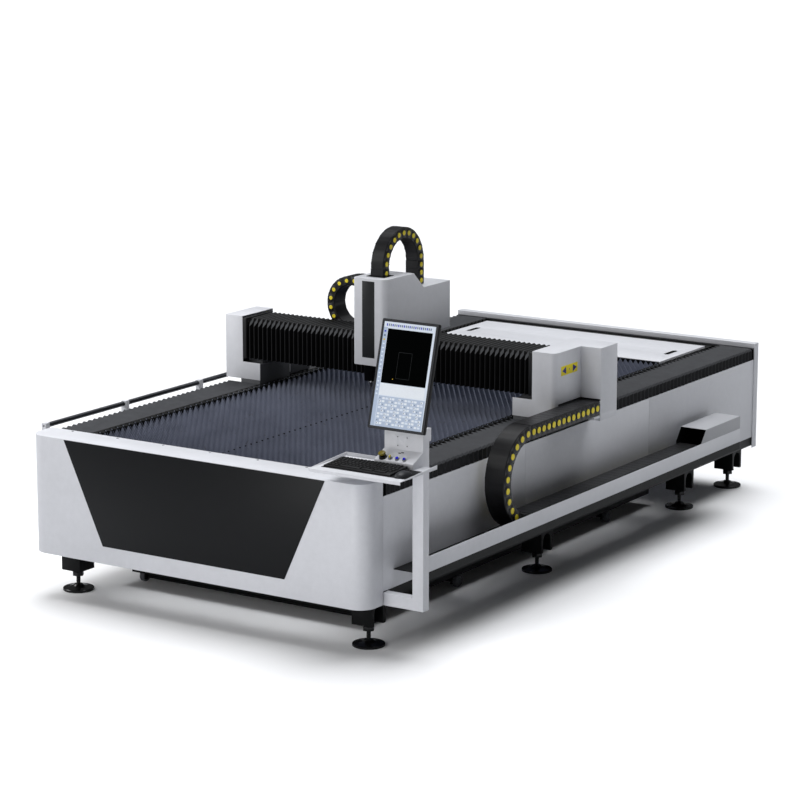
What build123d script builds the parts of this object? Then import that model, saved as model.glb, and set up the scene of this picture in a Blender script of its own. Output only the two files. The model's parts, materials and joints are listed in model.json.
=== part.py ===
from build123d import *
import os
from math import atan2, ceil, cos, hypot, radians, sin, sqrt

# Open flatbed fiber laser cutting machine, in millimetres, +Z up.
# X runs across the bed, Y along it with the front cover at -Y, and the floor is z = 0.
# Sizes are given about the bed's own centre. FRAME then carries every piece to the middle of the box.

# Sheet metal and clearances
SHEET = 3.0
OVERRUN = 6.0
RUN_CLEAR = 0.3
PIN_CLEAR = 0.1

# Bed frame
BED_HALF_WIDTH = 983.0
BED_FRONT = -1532.0
BED_LENGTH = 3775.0
FRAME_FRONT_REACH = 88.0
FRAME_REAR_REACH = 37.0
FRAME_BOTTOM = 240.0
FRAME_HEIGHT = 460.0
SIDE_BEAM_WIDTH = 160.0
SIDE_BEAM_WALL = 12.0
CROSS_BEAM_DEPTH = 100.0
CROSS_BEAM_HEIGHT = 140.0
CROSS_BEAM_WALL = 10.0
CROSS_BEAM_RISE = 180.0
CROSS_BEAM_COUNT = 5
END_WALL = 8.0
END_WALL_DROP = 140.0
BED_REAR = BED_FRONT + BED_LENGTH
FRAME_FRONT = BED_FRONT - FRAME_FRONT_REACH
FRAME_REAR = BED_REAR + FRAME_REAR_REACH
FRAME_TOP = FRAME_BOTTOM + FRAME_HEIGHT
SIDE_OUTER = BED_HALF_WIDTH - SHEET
SIDE_INNER = SIDE_OUTER - SIDE_BEAM_WIDTH

# Levelling feet and their brackets
FOOT_INSET = 45.0
FOOT_FRONT_INSET = 110.0
FOOT_REAR_INSET = 87.0
FOOT_SHARES = (0.425, 0.826)
FOOT_BLOCK = 114.0
FOOT_BLOCK_HEIGHT = 133.0
FOOT_RECESS_WIDTH = 74.0
FOOT_RECESS_DEPTH = 60.0
FOOT_RECESS_HEIGHT = 96.0
FOOT_PAD_RADIUS = 77.5
FOOT_PAD_RIM = 9.0
FOOT_NECK_RADIUS = 24.0
FOOT_NECK_HEIGHT = 24.0
FOOT_SCREW_RADIUS = 10.0
FOOT_NUT_RADIUS = 29.0
FOOT_NUT_HEIGHT = 34.0
FOOT_X = SIDE_INNER + FOOT_INSET
FOOT_MIDDLE_YS = [FRAME_FRONT + (FRAME_REAR - FRAME_FRONT) * share for share in FOOT_SHARES]
FOOT_YS = [FRAME_FRONT + FOOT_FRONT_INSET, *FOOT_MIDDLE_YS, FRAME_REAR - FOOT_REAR_INSET]
FOOT_BLOCK_BOTTOM = FRAME_BOTTOM - FOOT_BLOCK_HEIGHT

# Table
SLAT_END_GAP = 56.0
SLAT_HEIGHT = 100.0
SLAT_THICKNESS = 3.0
SLAT_TOOTH_DEPTH = 26.0
SLAT_TEETH = 9
SLAT_FRONT_GAP = 24.0
SLAT_PITCH = 46.0
LEDGE_THICKNESS = 8.0
LEDGE_RISE = 5.0
LEDGE_REACH = 120.0
LEDGE_DROP = 60.0
SLAT_HALF_LENGTH = SIDE_INNER - SLAT_END_GAP
SLAT_FIRST_Y = BED_FRONT + SLAT_FRONT_GAP
LEDGE_TOP = FRAME_TOP + LEDGE_RISE
TABLE_TOP = LEDGE_TOP + SLAT_HEIGHT

# Removable plate behind the slats
PLATE_SIDE_GAP = 98.0
PLATE_FRONT_GAP = 16.0
PLATE_LENGTH = 546.0
PLATE_REAR_GAP = 88.0
PLATE_THICKNESS = 4.0
PLATE_SLOT_INSET = 74.0
PLATE_SLOT_LENGTH = 130.0
PLATE_SLOT_WIDTH = 32.0
PLATE_HALF_WIDTH = SIDE_INNER - PLATE_SIDE_GAP
PLATE_REAR = BED_REAR - PLATE_REAR_GAP
PLATE_FRONT = PLATE_REAR - PLATE_LENGTH
SLAT_COUNT = 1 + int((PLATE_FRONT - PLATE_FRONT_GAP - SLAT_THICKNESS - SLAT_FIRST_Y) / SLAT_PITCH)
PLATE_SLOT_X = PLATE_HALF_WIDTH - PLATE_SLOT_INSET

# Front cover, its inlay, side panels and rear cover
COVER_REACH = 185.0
COVER_SIDE_GAP = 40.0
COVER_RISE = 12.0
COVER_DROP = 13.0
COVER_CORNER = 85.0
INLAY_THICKNESS = 2.0
INLAY_TOP_INSET = 221.0
INLAY_BOTTOM_INSET = 450.0
INLAY_FOOT_RISE = 88.0
INLAY_EDGE = 3.0
PANEL_REAR_REACH = 10.0
PANEL_RISE = 38.0
BASE_BAR_SHOW = 50.0
SEAM_WIDTH = 3.0
SEAM_DEPTH = 1.0
SEAM_SHARES = (0.34, 0.67)
REAR_COVER_DEPTH = 52.0
REAR_COVER_RISE = 24.0
REAR_LIP = 26.0
COVER_FRONT = BED_FRONT - COVER_REACH
COVER_LEDGE_REAR = BED_FRONT - END_WALL
COVER_SIDE_REAR = BED_FRONT - COVER_SIDE_GAP
COVER_HALF = BED_HALF_WIDTH + SHEET
COVER_TOP = TABLE_TOP + COVER_RISE
COVER_BOTTOM = FRAME_BOTTOM - COVER_DROP
INLAY_TOP_HALF = COVER_HALF - INLAY_TOP_INSET
INLAY_BOTTOM_HALF = COVER_HALF - INLAY_BOTTOM_INSET
PANEL_REAR = FRAME_REAR + PANEL_REAR_REACH
PANEL_TOP = FRAME_TOP + PANEL_RISE
PANEL_BOTTOM = FRAME_BOTTOM + BASE_BAR_SHOW
REAR_COVER_FRONT = BED_REAR + END_WALL

# Rails and racks on the side beams
RAIL_OFFSET = 50.0
RAIL_WIDTH = 30.0
RAIL_HEIGHT = 28.0
RACK_OFFSET = 115.0
RACK_WIDTH = 24.0
RACK_HEIGHT = 22.0
RAIL_END_GAP = 2.0
RAIL_X = SIDE_INNER + RAIL_OFFSET
RACK_X = SIDE_INNER + RACK_OFFSET

# Rail bellows
BELLOWS_OVERHANG = 51.0
BELLOWS_PITCH = 45.0
BELLOWS_PLEAT = 8.0
BELLOWS_BACKING = 4.0
SKIRT_GAP = 2.0
BELLOWS_INNER = SIDE_INNER - BELLOWS_OVERHANG

# Gantry saddles, covers and beam
GANTRY_FRONT = -75.0
LEFT_COVER_DEPTH = 280.0
RIGHT_COVER_DEPTH = 425.0
RIGHT_STEP_DEPTH = 255.0
LEG_OVERHANG = 42.0
LEG_GAP = 15.0
LEG_HEIGHT = 92.0
END_COVER_HEIGHT = 246.0
END_COVER_INSET = 70.0
LEFT_COVER_PROUD = 17.0
RIGHT_COVER_PROUD = 41.0
RIGHT_COVER_ROUND = 30.0
SADDLE_WIDTH = 124.0
SADDLE_TOP_DROP = 7.0
BEAM_SETBACK = 55.0
BEAM_DEPTH = 170.0
BEAM_RISE = 35.0
BEAM_HEIGHT = 180.0
BEAM_WALL = 12.0
BEAM_RAIL_DEPTH = 25.0
BEAM_RAIL_HEIGHT = 25.0
BEAM_RAIL_INSET = 40.0
BEAM_RAIL_END_GAP = 10.0
PAD_INSET = 19.0
MOTOR_SIZE = 80.0
MOTOR_GEARBOX_HEIGHT = 80.0
MOTOR_BODY_SIZE = 68.0
MOTOR_BODY_HEIGHT = 125.0
MOTOR_SETBACK = 145.0
LEFT_COVER_REAR = GANTRY_FRONT + LEFT_COVER_DEPTH
RIGHT_COVER_REAR = GANTRY_FRONT + RIGHT_COVER_DEPTH
RIGHT_COVER_STEP = GANTRY_FRONT + RIGHT_STEP_DEPTH
LEG_INNER = SIDE_INNER - LEG_OVERHANG
END_COVER_INNER = SIDE_INNER + END_COVER_INSET
LEFT_COVER_OUTER = BED_HALF_WIDTH + LEFT_COVER_PROUD
RIGHT_COVER_OUTER = BED_HALF_WIDTH + RIGHT_COVER_PROUD
LEG_BOTTOM = TABLE_TOP + LEG_GAP
LEG_TOP = LEG_BOTTOM + LEG_HEIGHT
GANTRY_TOP = LEG_TOP + END_COVER_HEIGHT
SADDLE_TOP = LEG_TOP - SADDLE_TOP_DROP
SADDLE_INNER = LEG_INNER + SHEET
BEAM_FRONT = GANTRY_FRONT + BEAM_SETBACK
BEAM_REAR = BEAM_FRONT + BEAM_DEPTH
BEAM_BOTTOM = SADDLE_TOP + BEAM_RISE
BEAM_TOP = BEAM_BOTTOM + BEAM_HEIGHT
MOTOR_X = SADDLE_INNER + SADDLE_WIDTH + MOTOR_SIZE / 2
MOTOR_Y = GANTRY_FRONT + MOTOR_SETBACK

# Bellows along the beam
FOLD_PITCH = 28.0
FOLD_DEPTH = 12.0
FOLD_BACKING = 14.0
FOLD_CHAMFER = 38.0
FOLD_REAR_REACH = 20.0
FOLD_DROP = 8.0
FOLD_FRONT = BEAM_FRONT - BEAM_RAIL_DEPTH - FOLD_BACKING - FOLD_DEPTH
FOLD_REAR = BEAM_REAR + FOLD_REAR_REACH
FOLD_TOP = BEAM_TOP + FOLD_BACKING + FOLD_DEPTH
FOLD_BOTTOM = BEAM_BOTTOM - FOLD_DROP

# Carriage, head cover and cutting head
CARRIAGE_LEFT = -36.0
CARRIAGE_WIDTH = 196.0
CARRIAGE_PROUD = 4.0
CARRIAGE_PLATE = 27.0
CARRIAGE_TOP_PLATE = 20.0
CARRIAGE_FOOT_RISE = 5.0
BEARING_DEPTH = 18.0
BEARING_HEIGHT = 60.0
HEAD_REACH = 215.0
HEAD_DROP = 116.0
HEAD_HEIGHT = 447.0
HEAD_BROW_DEPTH = 263.0
HEAD_SLOPE_DEPTH = 95.0
HEAD_SLOPE_DROP = 85.0
HEAD_DEPTH = 612.0
HEAD_RIGHT_ROUND = 40.0
HEAD_LEFT_ROUND = 12.0
CHAIN_PORT_MARGIN = 10.0
TORCH_LEFT_GAP = 16.0
TORCH_RIGHT_GAP = 50.0
TORCH_RISE = 15.0
TORCH_HEIGHT = 325.0
TORCH_BLOCK = 55.0
TORCH_BLOCK_HEIGHT = 110.0
TORCH_BLOCK_INSET = 51.0
TORCH_BLOCK_SETBACK = 85.0
NOZZLE_HEIGHT = 34.0
NOZZLE_TOP_RADIUS = 15.0
NOZZLE_COLLAR = 8.0
NOZZLE_TIP_RADIUS = 5.0
NOZZLE_BORE_RADIUS = 1.5
CARRIAGE_RIGHT = CARRIAGE_LEFT + CARRIAGE_WIDTH
CARRIAGE_FRONT = FOLD_FRONT - CARRIAGE_PROUD
CARRIAGE_BOTTOM = BEAM_BOTTOM + CARRIAGE_FOOT_RISE
HEAD_FRONT = CARRIAGE_FRONT - HEAD_REACH
HEAD_BOTTOM = FOLD_TOP - HEAD_DROP
HEAD_TOP = HEAD_BOTTOM + HEAD_HEIGHT
HEAD_BROW_REAR = HEAD_FRONT + HEAD_BROW_DEPTH
HEAD_SLOPE_REAR = HEAD_BROW_REAR + HEAD_SLOPE_DEPTH
HEAD_REAR = HEAD_FRONT + HEAD_DEPTH
HEAD_REAR_TOP = HEAD_TOP - HEAD_SLOPE_DROP
TORCH_LEFT = CARRIAGE_LEFT + TORCH_LEFT_GAP
TORCH_RIGHT = CARRIAGE_RIGHT - TORCH_RIGHT_GAP
TORCH_FRONT = HEAD_FRONT + HEAD_RIGHT_ROUND
TORCH_BOTTOM = HEAD_BOTTOM + TORCH_RISE
TORCH_TOP = TORCH_BOTTOM + TORCH_HEIGHT
TORCH_X = CARRIAGE_LEFT + TORCH_BLOCK_INSET
TORCH_Y = HEAD_FRONT + TORCH_BLOCK_SETBACK

# Energy chains
CHAIN_NOTCH = 3.0
GANTRY_CHAIN_GAP = 2.0
GANTRY_CHAIN_WIDTH = 112.0
GANTRY_CHAIN_THICKNESS = 74.0
GANTRY_CHAIN_RISE = 85.0
GANTRY_CHAIN_RADIUS = 218.5
GANTRY_CHAIN_PITCH = 50.0
GANTRY_BEND_REACH = 425.0
GANTRY_CHAIN_FIXED_Y = 1270.0
CARRIAGE_CHAIN_GAP = 8.0
CARRIAGE_CHAIN_WIDTH = 110.0
CARRIAGE_CHAIN_THICKNESS = 50.0
CARRIAGE_CHAIN_DROP = 7.0
CARRIAGE_CHAIN_RADIUS = 128.0
CARRIAGE_CHAIN_PITCH = 46.0
CARRIAGE_BEND_REACH = 332.0
CARRIAGE_CHAIN_OVERLAP = 96.0
CARRIAGE_CHAIN_LOWER_OVERLAP = 60.0
SHELF_THICKNESS = 6.0
SHELF_END_GAP = 150.0
SHELF_LIP = 4.0
LIFT_CHAIN_INSET = 98.0
LIFT_CHAIN_WIDTH = 80.0
LIFT_CHAIN_THICKNESS = 60.0
LIFT_CHAIN_SETBACK = 97.0
LIFT_CHAIN_REAR_GAP = 66.0
LIFT_CHAIN_RISE = 42.5
LIFT_CHAIN_PITCH = 42.0
GANTRY_CHAIN_INNER = RIGHT_COVER_OUTER + GANTRY_CHAIN_GAP
GANTRY_CHAIN_TOP = TABLE_TOP + GANTRY_CHAIN_RISE
GANTRY_BEND_Y = GANTRY_FRONT - GANTRY_BEND_REACH
RIGHT_COVER_WIDE = GANTRY_CHAIN_INNER + GANTRY_CHAIN_WIDTH + GANTRY_CHAIN_GAP
CARRIAGE_CHAIN_FRONT = FOLD_REAR + CARRIAGE_CHAIN_GAP
CARRIAGE_CHAIN_TOP = HEAD_REAR_TOP - CARRIAGE_CHAIN_DROP
CARRIAGE_BEND_X = CARRIAGE_LEFT - CARRIAGE_BEND_REACH
CARRIAGE_CHAIN_END_X = CARRIAGE_LEFT + CARRIAGE_CHAIN_OVERLAP
CARRIAGE_CHAIN_FIXED_X = CARRIAGE_LEFT + CARRIAGE_CHAIN_LOWER_OVERLAP
SHELF_LEFT = -END_COVER_INNER + SHELF_END_GAP
LIFT_CHAIN_X = CARRIAGE_LEFT + LIFT_CHAIN_INSET
LIFT_CHAIN_FRONT_Y = HEAD_FRONT + LIFT_CHAIN_SETBACK
LIFT_CHAIN_REAR_Y = HEAD_SLOPE_REAR + LIFT_CHAIN_REAR_GAP
LIFT_CHAIN_CENTRE_Z = HEAD_TOP + LIFT_CHAIN_RISE

# Trough for the gantry chain and the box over its rear end
TROUGH_WIDTH = 192.0
TROUGH_FRONT_GAP = 52.0
TROUGH_OVERLAP = 434.0
TROUGH_LIP_RISE = 87.3
TROUGH_SKIRT = 24.0
TROUGH_BACK_HEIGHT = 46.0
BOX_RISE = 70.0
BOX_SLANT = 56.0
BOX_OVERLAP = 29.0
BOX_CHAIN_GAP = 1.0
TROUGH_OUTER = BED_HALF_WIDTH + TROUGH_WIDTH
TROUGH_FRONT = BED_FRONT + TROUGH_FRONT_GAP
TROUGH_REAR = GANTRY_CHAIN_FIXED_Y + TROUGH_OVERLAP
TROUGH_FLOOR = GANTRY_CHAIN_TOP - 2 * GANTRY_CHAIN_RADIUS - GANTRY_CHAIN_THICKNESS - RUN_CLEAR
TROUGH_LIP_TOP = TROUGH_FLOOR + TROUGH_LIP_RISE
BOX_FRONT = GANTRY_CHAIN_FIXED_Y - BOX_OVERLAP
BOX_INNER = GANTRY_CHAIN_INNER - BOX_CHAIN_GAP - SHEET

# Loading rollers on the left side
ROLLER_REACH = 57.0
ROLLER_RISE = 10.0
ROLLER_RADIUS = 12.5
ROLLER_PIN_RADIUS = 6.0
ROLLER_PITCH = 630.0
ROLLER_FRONT_GAP = 9.0
ROLLER_COUNT = 5
ROLLER_END_GAP = 1.0
BRACKET_HALF = 14.0
BRACKET_WIDTH = 30.0
BRACKET_FOOT = 40.0
BRACKET_PLATE = 5.0
ROLLER_X = BED_HALF_WIDTH + ROLLER_REACH
ROLLER_Z = TABLE_TOP + ROLLER_RISE
ROLLER_FIRST_Y = BED_FRONT + ROLLER_FRONT_GAP

# Operator stand
POST_REACH = 161.0
POST_WIDTH = 58.0
POST_GAP = 2.0
POST_DEPTH = 49.0
ARM_THICKNESS = 16.0
ARM_WIDTH = 44.0
ARM_STUB_HEIGHT = 60.0
TRAY_LEFT_REACH = 360.0
TRAY_RIGHT_REACH = 131.0
TRAY_DEPTH = 306.0
TRAY_FLOOR = 908.0
TRAY_RIM = 16.0
TRAY_LIP_DROP = 12.0
KEYBOARD_SIDE_GAP = 42.0
KEYBOARD_WIDTH = 355.0
KEYBOARD_FRONT_GAP = 61.0
KEYBOARD_DEPTH = 148.0
KEYBOARD_FRONT_HEIGHT = 14.0
KEYBOARD_REAR_HEIGHT = 24.0
KEYBOARD_ROUND = 10.0
MOUSE_SIDE_GAP = 49.0
MOUSE_FRONT_GAP = 101.0
MOUSE_WIDTH = 62.0
MOUSE_LENGTH = 108.0
MOUSE_HEIGHT = 30.0
MOUSE_ROUND = 12.0
CONSOLE_REACH = 149.0
CONSOLE_DEPTH = 87.0
CONSOLE_FRONT_HEIGHT = 26.0
CONSOLE_REAR_HEIGHT = 64.0
CONSOLE_PLATE_RISE = 167.0
PLATE_HOLE_RADIUS = 3.2
PLATE_HOLE_SPACING_X = 50.0
PLATE_HOLE_SPACING_Z = 40.0
PLATE_HOLE_INSET = 96.0
PLATE_HOLE_RISE = 102.0
MONITOR_WIDTH = 300.0
MONITOR_HEIGHT = 500.0
MONITOR_DEPTH = 24.0
MONITOR_INSET = 95.0
MONITOR_SETBACK = 2.5
MONITOR_RISE = 402.0
MONITOR_TILT = 15.0
MONITOR_BEZEL = 13.0
MONITOR_ROUND = 8.0
SCREEN_DEPTH = 3.0
SCREEN_RECESS = 1.0
HINGE_REACH = 46.0
KNUCKLE_RADIUS = 12.0
HINGE_PIN_RADIUS = 5.0
EAR_THICKNESS = 14.0
POST_LEFT = BED_HALF_WIDTH + POST_REACH
POST_FRONT = COVER_SIDE_REAR + POST_GAP
POST_BOTTOM = COVER_BOTTOM
POST_TOP = TRAY_FLOOR + CONSOLE_PLATE_RISE
TRAY_LEFT = POST_LEFT - TRAY_LEFT_REACH
TRAY_RIGHT = POST_LEFT + TRAY_RIGHT_REACH
TRAY_FRONT = POST_FRONT - TRAY_DEPTH
KEYBOARD_LEFT = TRAY_LEFT + KEYBOARD_SIDE_GAP
KEYBOARD_FRONT = TRAY_FRONT + KEYBOARD_FRONT_GAP
MOUSE_X = TRAY_RIGHT - MOUSE_SIDE_GAP
MOUSE_Y = TRAY_FRONT + MOUSE_FRONT_GAP
CONSOLE_LEFT = POST_LEFT - CONSOLE_REACH
CONSOLE_FRONT = POST_FRONT - CONSOLE_DEPTH
PLATE_HOLE_X = CONSOLE_LEFT + PLATE_HOLE_INSET
PLATE_HOLE_Z = TRAY_FLOOR + PLATE_HOLE_RISE
MONITOR_X = CONSOLE_LEFT + MONITOR_INSET
MONITOR_Y = POST_FRONT + MONITOR_SETBACK
MONITOR_Z = TRAY_FLOOR + MONITOR_RISE

# Switches on the console's sloping face, in the face's own plane
SWITCH_ROW = -26.0
ESTOP_INSET = 35.0
KEY_INSET = 75.0
PUSH_INSETS = (112.0, 150.0)
ESTOP_BASE_RADIUS = 19.0
ESTOP_BASE_HEIGHT = 10.0
ESTOP_STEM_RADIUS = 11.0
ESTOP_CAP_RADIUS = 20.0
ESTOP_CAP_HEIGHT = 14.0
ESTOP_TRAVEL_GAP = 6.0
COLLAR_RADIUS = 10.0
COLLAR_BORE = 7.0
COLLAR_HEIGHT = 8.0
PUSH_HEIGHT = 9.0
PUSH_FLOOR_GAP = 4.0
KEY_HEIGHT = 18.0
KEY_BLADE = 3.0
ESTOP_X = CONSOLE_LEFT + ESTOP_INSET
KEY_X = CONSOLE_LEFT + KEY_INSET
PUSH_XS = [CONSOLE_LEFT + inset for inset in PUSH_INSETS]

# Slag trolley
SLAG_SIDE_GAP = 120.0
SLAG_FRONT_GAP = 242.0
SLAG_LENGTH = 2840.0
SLAG_BOTTOM = 66.0
SLAG_RIM = 42.0
SLAG_PULL = 34.0
WHEEL_RADIUS = 30.0
WHEEL_WIDTH = 26.0
WHEEL_SIDE_GAP = 16.0
WHEEL_FRONT_GAP = 83.0
WHEEL_REAR_GAP = 453.0
WHEEL_SETS = 4
AXLE_RADIUS = 10.0
HANGER_THICKNESS = 8.0
HANGER_HALF = 24.0
HANGER_GAP = 4.0
SLAG_HALF_WIDTH = SIDE_INNER - SLAG_SIDE_GAP
SLAG_FRONT = BED_FRONT + SLAG_FRONT_GAP
SLAG_REAR = SLAG_FRONT + SLAG_LENGTH
WHEEL_X = SLAG_HALF_WIDTH - WHEEL_SIDE_GAP
WHEEL_FIRST_Y = SLAG_FRONT + WHEEL_FRONT_GAP
WHEEL_PITCH = (SLAG_REAR - WHEEL_REAR_GAP - WHEEL_FIRST_Y) / (WHEEL_SETS - 1)

# The box of the whole machine gives the origin: the middle of its base
BOX_RIGHT = max(TRAY_RIGHT, TROUGH_OUTER, MONITOR_X + MONITOR_WIDTH / 2)
BOX_LEFT = -(ROLLER_X + BRACKET_HALF)
BOX_NEAR = min(TRAY_FRONT, COVER_FRONT - INLAY_THICKNESS)
BOX_FAR = REAR_COVER_FRONT + REAR_COVER_DEPTH
FRAME = Location((-(BOX_LEFT + BOX_RIGHT) / 2, -(BOX_NEAR + BOX_FAR) / 2, 0))

os.makedirs("parts", exist_ok=True)


def write(shape, name):
    """Carry a finished piece to the shared frame and write it under its own name."""
    placed = shape.moved(FRAME)
    placed.label = name
    export_step(placed, f"parts/{name}.step")


def write_group(shapes, name):
    """Carry each of several alike pieces to the shared frame and write them as one node."""
    group = Compound(children=[shape.moved(FRAME) for shape in shapes])
    group.label = name
    export_step(group, f"parts/{name}.step")


def block(low, high, mode=Mode.ADD):
    """A plain block between two corners, in the part being built."""
    middle = tuple((a + b) / 2 for a, b in zip(low, high))
    with Locations(middle):
        Box(*[b - a for a, b in zip(low, high)], mode=mode)


def section_y(y):
    """The plane across the bed at y: its own axes are X and Z, and -amount extrudes to the rear."""
    return Plane.XZ.offset(-y)


# Bed frame: two long box beams, cross beams, end walls and the bracket over each foot
cross_span = FRAME_REAR - FRAME_FRONT - CROSS_BEAM_DEPTH
cross_step = cross_span / (CROSS_BEAM_COUNT - 1)
cross_ys = [FRAME_FRONT + CROSS_BEAM_DEPTH / 2 + cross_step * i for i in range(CROSS_BEAM_COUNT)]
cross_z = FRAME_BOTTOM + CROSS_BEAM_RISE + CROSS_BEAM_HEIGHT / 2
beam_x = (SIDE_OUTER + SIDE_INNER) / 2
end_wall_top = TABLE_TOP - BELLOWS_PLEAT
with BuildPart() as bed_frame:
    with BuildSketch(section_y(FRAME_FRONT)):
        with Locations((-beam_x, FRAME_BOTTOM + FRAME_HEIGHT / 2), (beam_x, FRAME_BOTTOM + FRAME_HEIGHT / 2)):
            Rectangle(SIDE_BEAM_WIDTH, FRAME_HEIGHT)
            Rectangle(
                SIDE_BEAM_WIDTH - 2 * SIDE_BEAM_WALL, FRAME_HEIGHT - 2 * SIDE_BEAM_WALL, mode=Mode.SUBTRACT
            )
    extrude(amount=-(FRAME_REAR - FRAME_FRONT))
    with BuildSketch(Plane.YZ.offset(-SIDE_INNER)):
        with Locations(*[(y, cross_z) for y in cross_ys]):
            Rectangle(CROSS_BEAM_DEPTH, CROSS_BEAM_HEIGHT)
            Rectangle(
                CROSS_BEAM_DEPTH - 2 * CROSS_BEAM_WALL,
                CROSS_BEAM_HEIGHT - 2 * CROSS_BEAM_WALL,
                mode=Mode.SUBTRACT,
            )
    extrude(amount=2 * SIDE_INNER)
    for wall_y in (BED_FRONT - END_WALL, BED_REAR):
        block(
            (-SIDE_INNER, wall_y, FRAME_TOP - END_WALL_DROP), (SIDE_INNER, wall_y + END_WALL, end_wall_top)
        )
        for side in (-1, 1):
            edge = sorted((side * SIDE_INNER, side * SIDE_OUTER))
            block((edge[0], wall_y, FRAME_TOP), (edge[1], wall_y + END_WALL, end_wall_top))
    foot_places = [(x, y) for x in (-FOOT_X, FOOT_X) for y in FOOT_YS]
    with Locations(*[(x, y, FRAME_BOTTOM - FOOT_BLOCK_HEIGHT / 2) for x, y in foot_places]):
        Box(FOOT_BLOCK, FOOT_BLOCK, FOOT_BLOCK_HEIGHT)
    arch_straight = FOOT_RECESS_HEIGHT - FOOT_RECESS_WIDTH / 2
    for side in (-1, 1):
        outer_face = Plane.YZ.offset(side * (FOOT_X + FOOT_BLOCK / 2))
        with BuildSketch(outer_face):
            with Locations(*[(y, FOOT_BLOCK_BOTTOM + arch_straight / 2) for y in FOOT_YS]):
                Rectangle(FOOT_RECESS_WIDTH, arch_straight)
            with Locations(*[(y, FOOT_BLOCK_BOTTOM + arch_straight) for y in FOOT_YS]):
                Circle(FOOT_RECESS_WIDTH / 2)
        extrude(amount=-side * FOOT_RECESS_DEPTH, mode=Mode.SUBTRACT)
write(bed_frame.part, "bed_frame")

# Levelling feet: a turned pad and screw with a hexagon nut up against the bracket
with BuildPart() as foot:
    with BuildSketch(Plane.XZ):
        with BuildLine():
            Polyline(
                (0, 0),
                (FOOT_PAD_RADIUS, 0),
                (FOOT_PAD_RADIUS, FOOT_PAD_RIM),
                (FOOT_NECK_RADIUS, FOOT_NECK_HEIGHT),
                (FOOT_SCREW_RADIUS, FOOT_NECK_HEIGHT),
                (FOOT_SCREW_RADIUS, FOOT_BLOCK_BOTTOM),
                (0, FOOT_BLOCK_BOTTOM),
                close=True,
            )
        make_face()
    revolve(axis=Axis.Z)
    with BuildSketch(Plane.XY.offset(FOOT_BLOCK_BOTTOM - FOOT_NUT_HEIGHT)):
        RegularPolygon(FOOT_NUT_RADIUS, 6)
    extrude(amount=FOOT_NUT_HEIGHT)
feet = [foot.part.moved(Location((x, y, 0))) for x, y in foot_places]
write_group(feet, "levelling_feet")

# Front cover: one folded sheet, open below and behind, with a deep top ledge
cover_middle = (COVER_FRONT + COVER_LEDGE_REAR) / 2
cover_depth = COVER_LEDGE_REAR - COVER_FRONT
with BuildPart() as front_cover:
    with BuildSketch(Plane.XY.offset(COVER_BOTTOM)) as cover_outline:
        with Locations((0, cover_middle)):
            Rectangle(2 * COVER_HALF, cover_depth)
        fillet(cover_outline.vertices().group_by(Axis.Y)[0], COVER_CORNER)
    extrude(amount=COVER_TOP - COVER_BOTTOM)
    with BuildSketch(Plane.XY.offset(COVER_BOTTOM - OVERRUN)) as cover_hollow:
        with Locations((0, cover_middle + SHEET + OVERRUN / 2)):
            Rectangle(2 * (COVER_HALF - SHEET), cover_depth + OVERRUN)
        fillet(cover_hollow.vertices().group_by(Axis.Y)[0], COVER_CORNER - SHEET)
    extrude(amount=COVER_TOP - SHEET - COVER_BOTTOM + OVERRUN, mode=Mode.SUBTRACT)
    block(
        (-COVER_HALF - OVERRUN, COVER_SIDE_REAR, COVER_BOTTOM - OVERRUN),
        (COVER_HALF + OVERRUN, COVER_LEDGE_REAR + OVERRUN, COVER_TOP - SHEET),
        mode=Mode.SUBTRACT,
    )
write(front_cover.part, "front_cover")

# Black inlay on the front cover, wide at the top
inlay_top = COVER_TOP - INLAY_EDGE
inlay_foot = COVER_BOTTOM + INLAY_FOOT_RISE
with BuildPart() as front_panel_inlay:
    with BuildSketch(section_y(COVER_FRONT)):
        with BuildLine():
            Polyline(
                (-INLAY_TOP_HALF, inlay_top),
                (INLAY_TOP_HALF, inlay_top),
                (INLAY_BOTTOM_HALF, inlay_foot),
                (-INLAY_BOTTOM_HALF, inlay_foot),
                close=True,
            )
        make_face()
    extrude(amount=INLAY_THICKNESS)
write(front_panel_inlay.part, "front_panel_inlay")

# Side panels with their vertical seams
panel_front = max(FRAME_FRONT, COVER_FRONT + COVER_CORNER)
for side, name in ((-1, "left_side_panel"), (1, "right_side_panel")):
    with BuildPart() as side_panel:
        faces = sorted((side * SIDE_OUTER, side * BED_HALF_WIDTH))
        block((faces[0], panel_front, PANEL_BOTTOM), (faces[1], PANEL_REAR, PANEL_TOP))
        for share in SEAM_SHARES:
            seam_y = panel_front + (PANEL_REAR - panel_front) * share
            seam = sorted((side * (BED_HALF_WIDTH - SEAM_DEPTH), side * (BED_HALF_WIDTH + OVERRUN)))
            block(
                (seam[0], seam_y, PANEL_BOTTOM - OVERRUN),
                (seam[1], seam_y + SEAM_WIDTH, PANEL_TOP + OVERRUN),
                mode=Mode.SUBTRACT,
            )
    write(side_panel.part, name)

# Rear cover: back, sides, top flange and the lip that stands above the table
rear_top = TABLE_TOP + REAR_COVER_RISE
rear_back = REAR_COVER_FRONT + REAR_COVER_DEPTH
with BuildPart() as rear_cover:
    block((-COVER_HALF, REAR_COVER_FRONT, COVER_BOTTOM), (COVER_HALF, rear_back, rear_top))
    block(
        (-COVER_HALF + SHEET, REAR_COVER_FRONT + SHEET, COVER_BOTTOM - OVERRUN),
        (COVER_HALF - SHEET, rear_back - SHEET, rear_top - SHEET),
        mode=Mode.SUBTRACT,
    )
    block(
        (-COVER_HALF + SHEET, REAR_COVER_FRONT - OVERRUN, COVER_BOTTOM - OVERRUN),
        (COVER_HALF - SHEET, REAR_COVER_FRONT + SHEET, rear_top - REAR_LIP),
        mode=Mode.SUBTRACT,
    )
write(rear_cover.part, "rear_cover")

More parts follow.
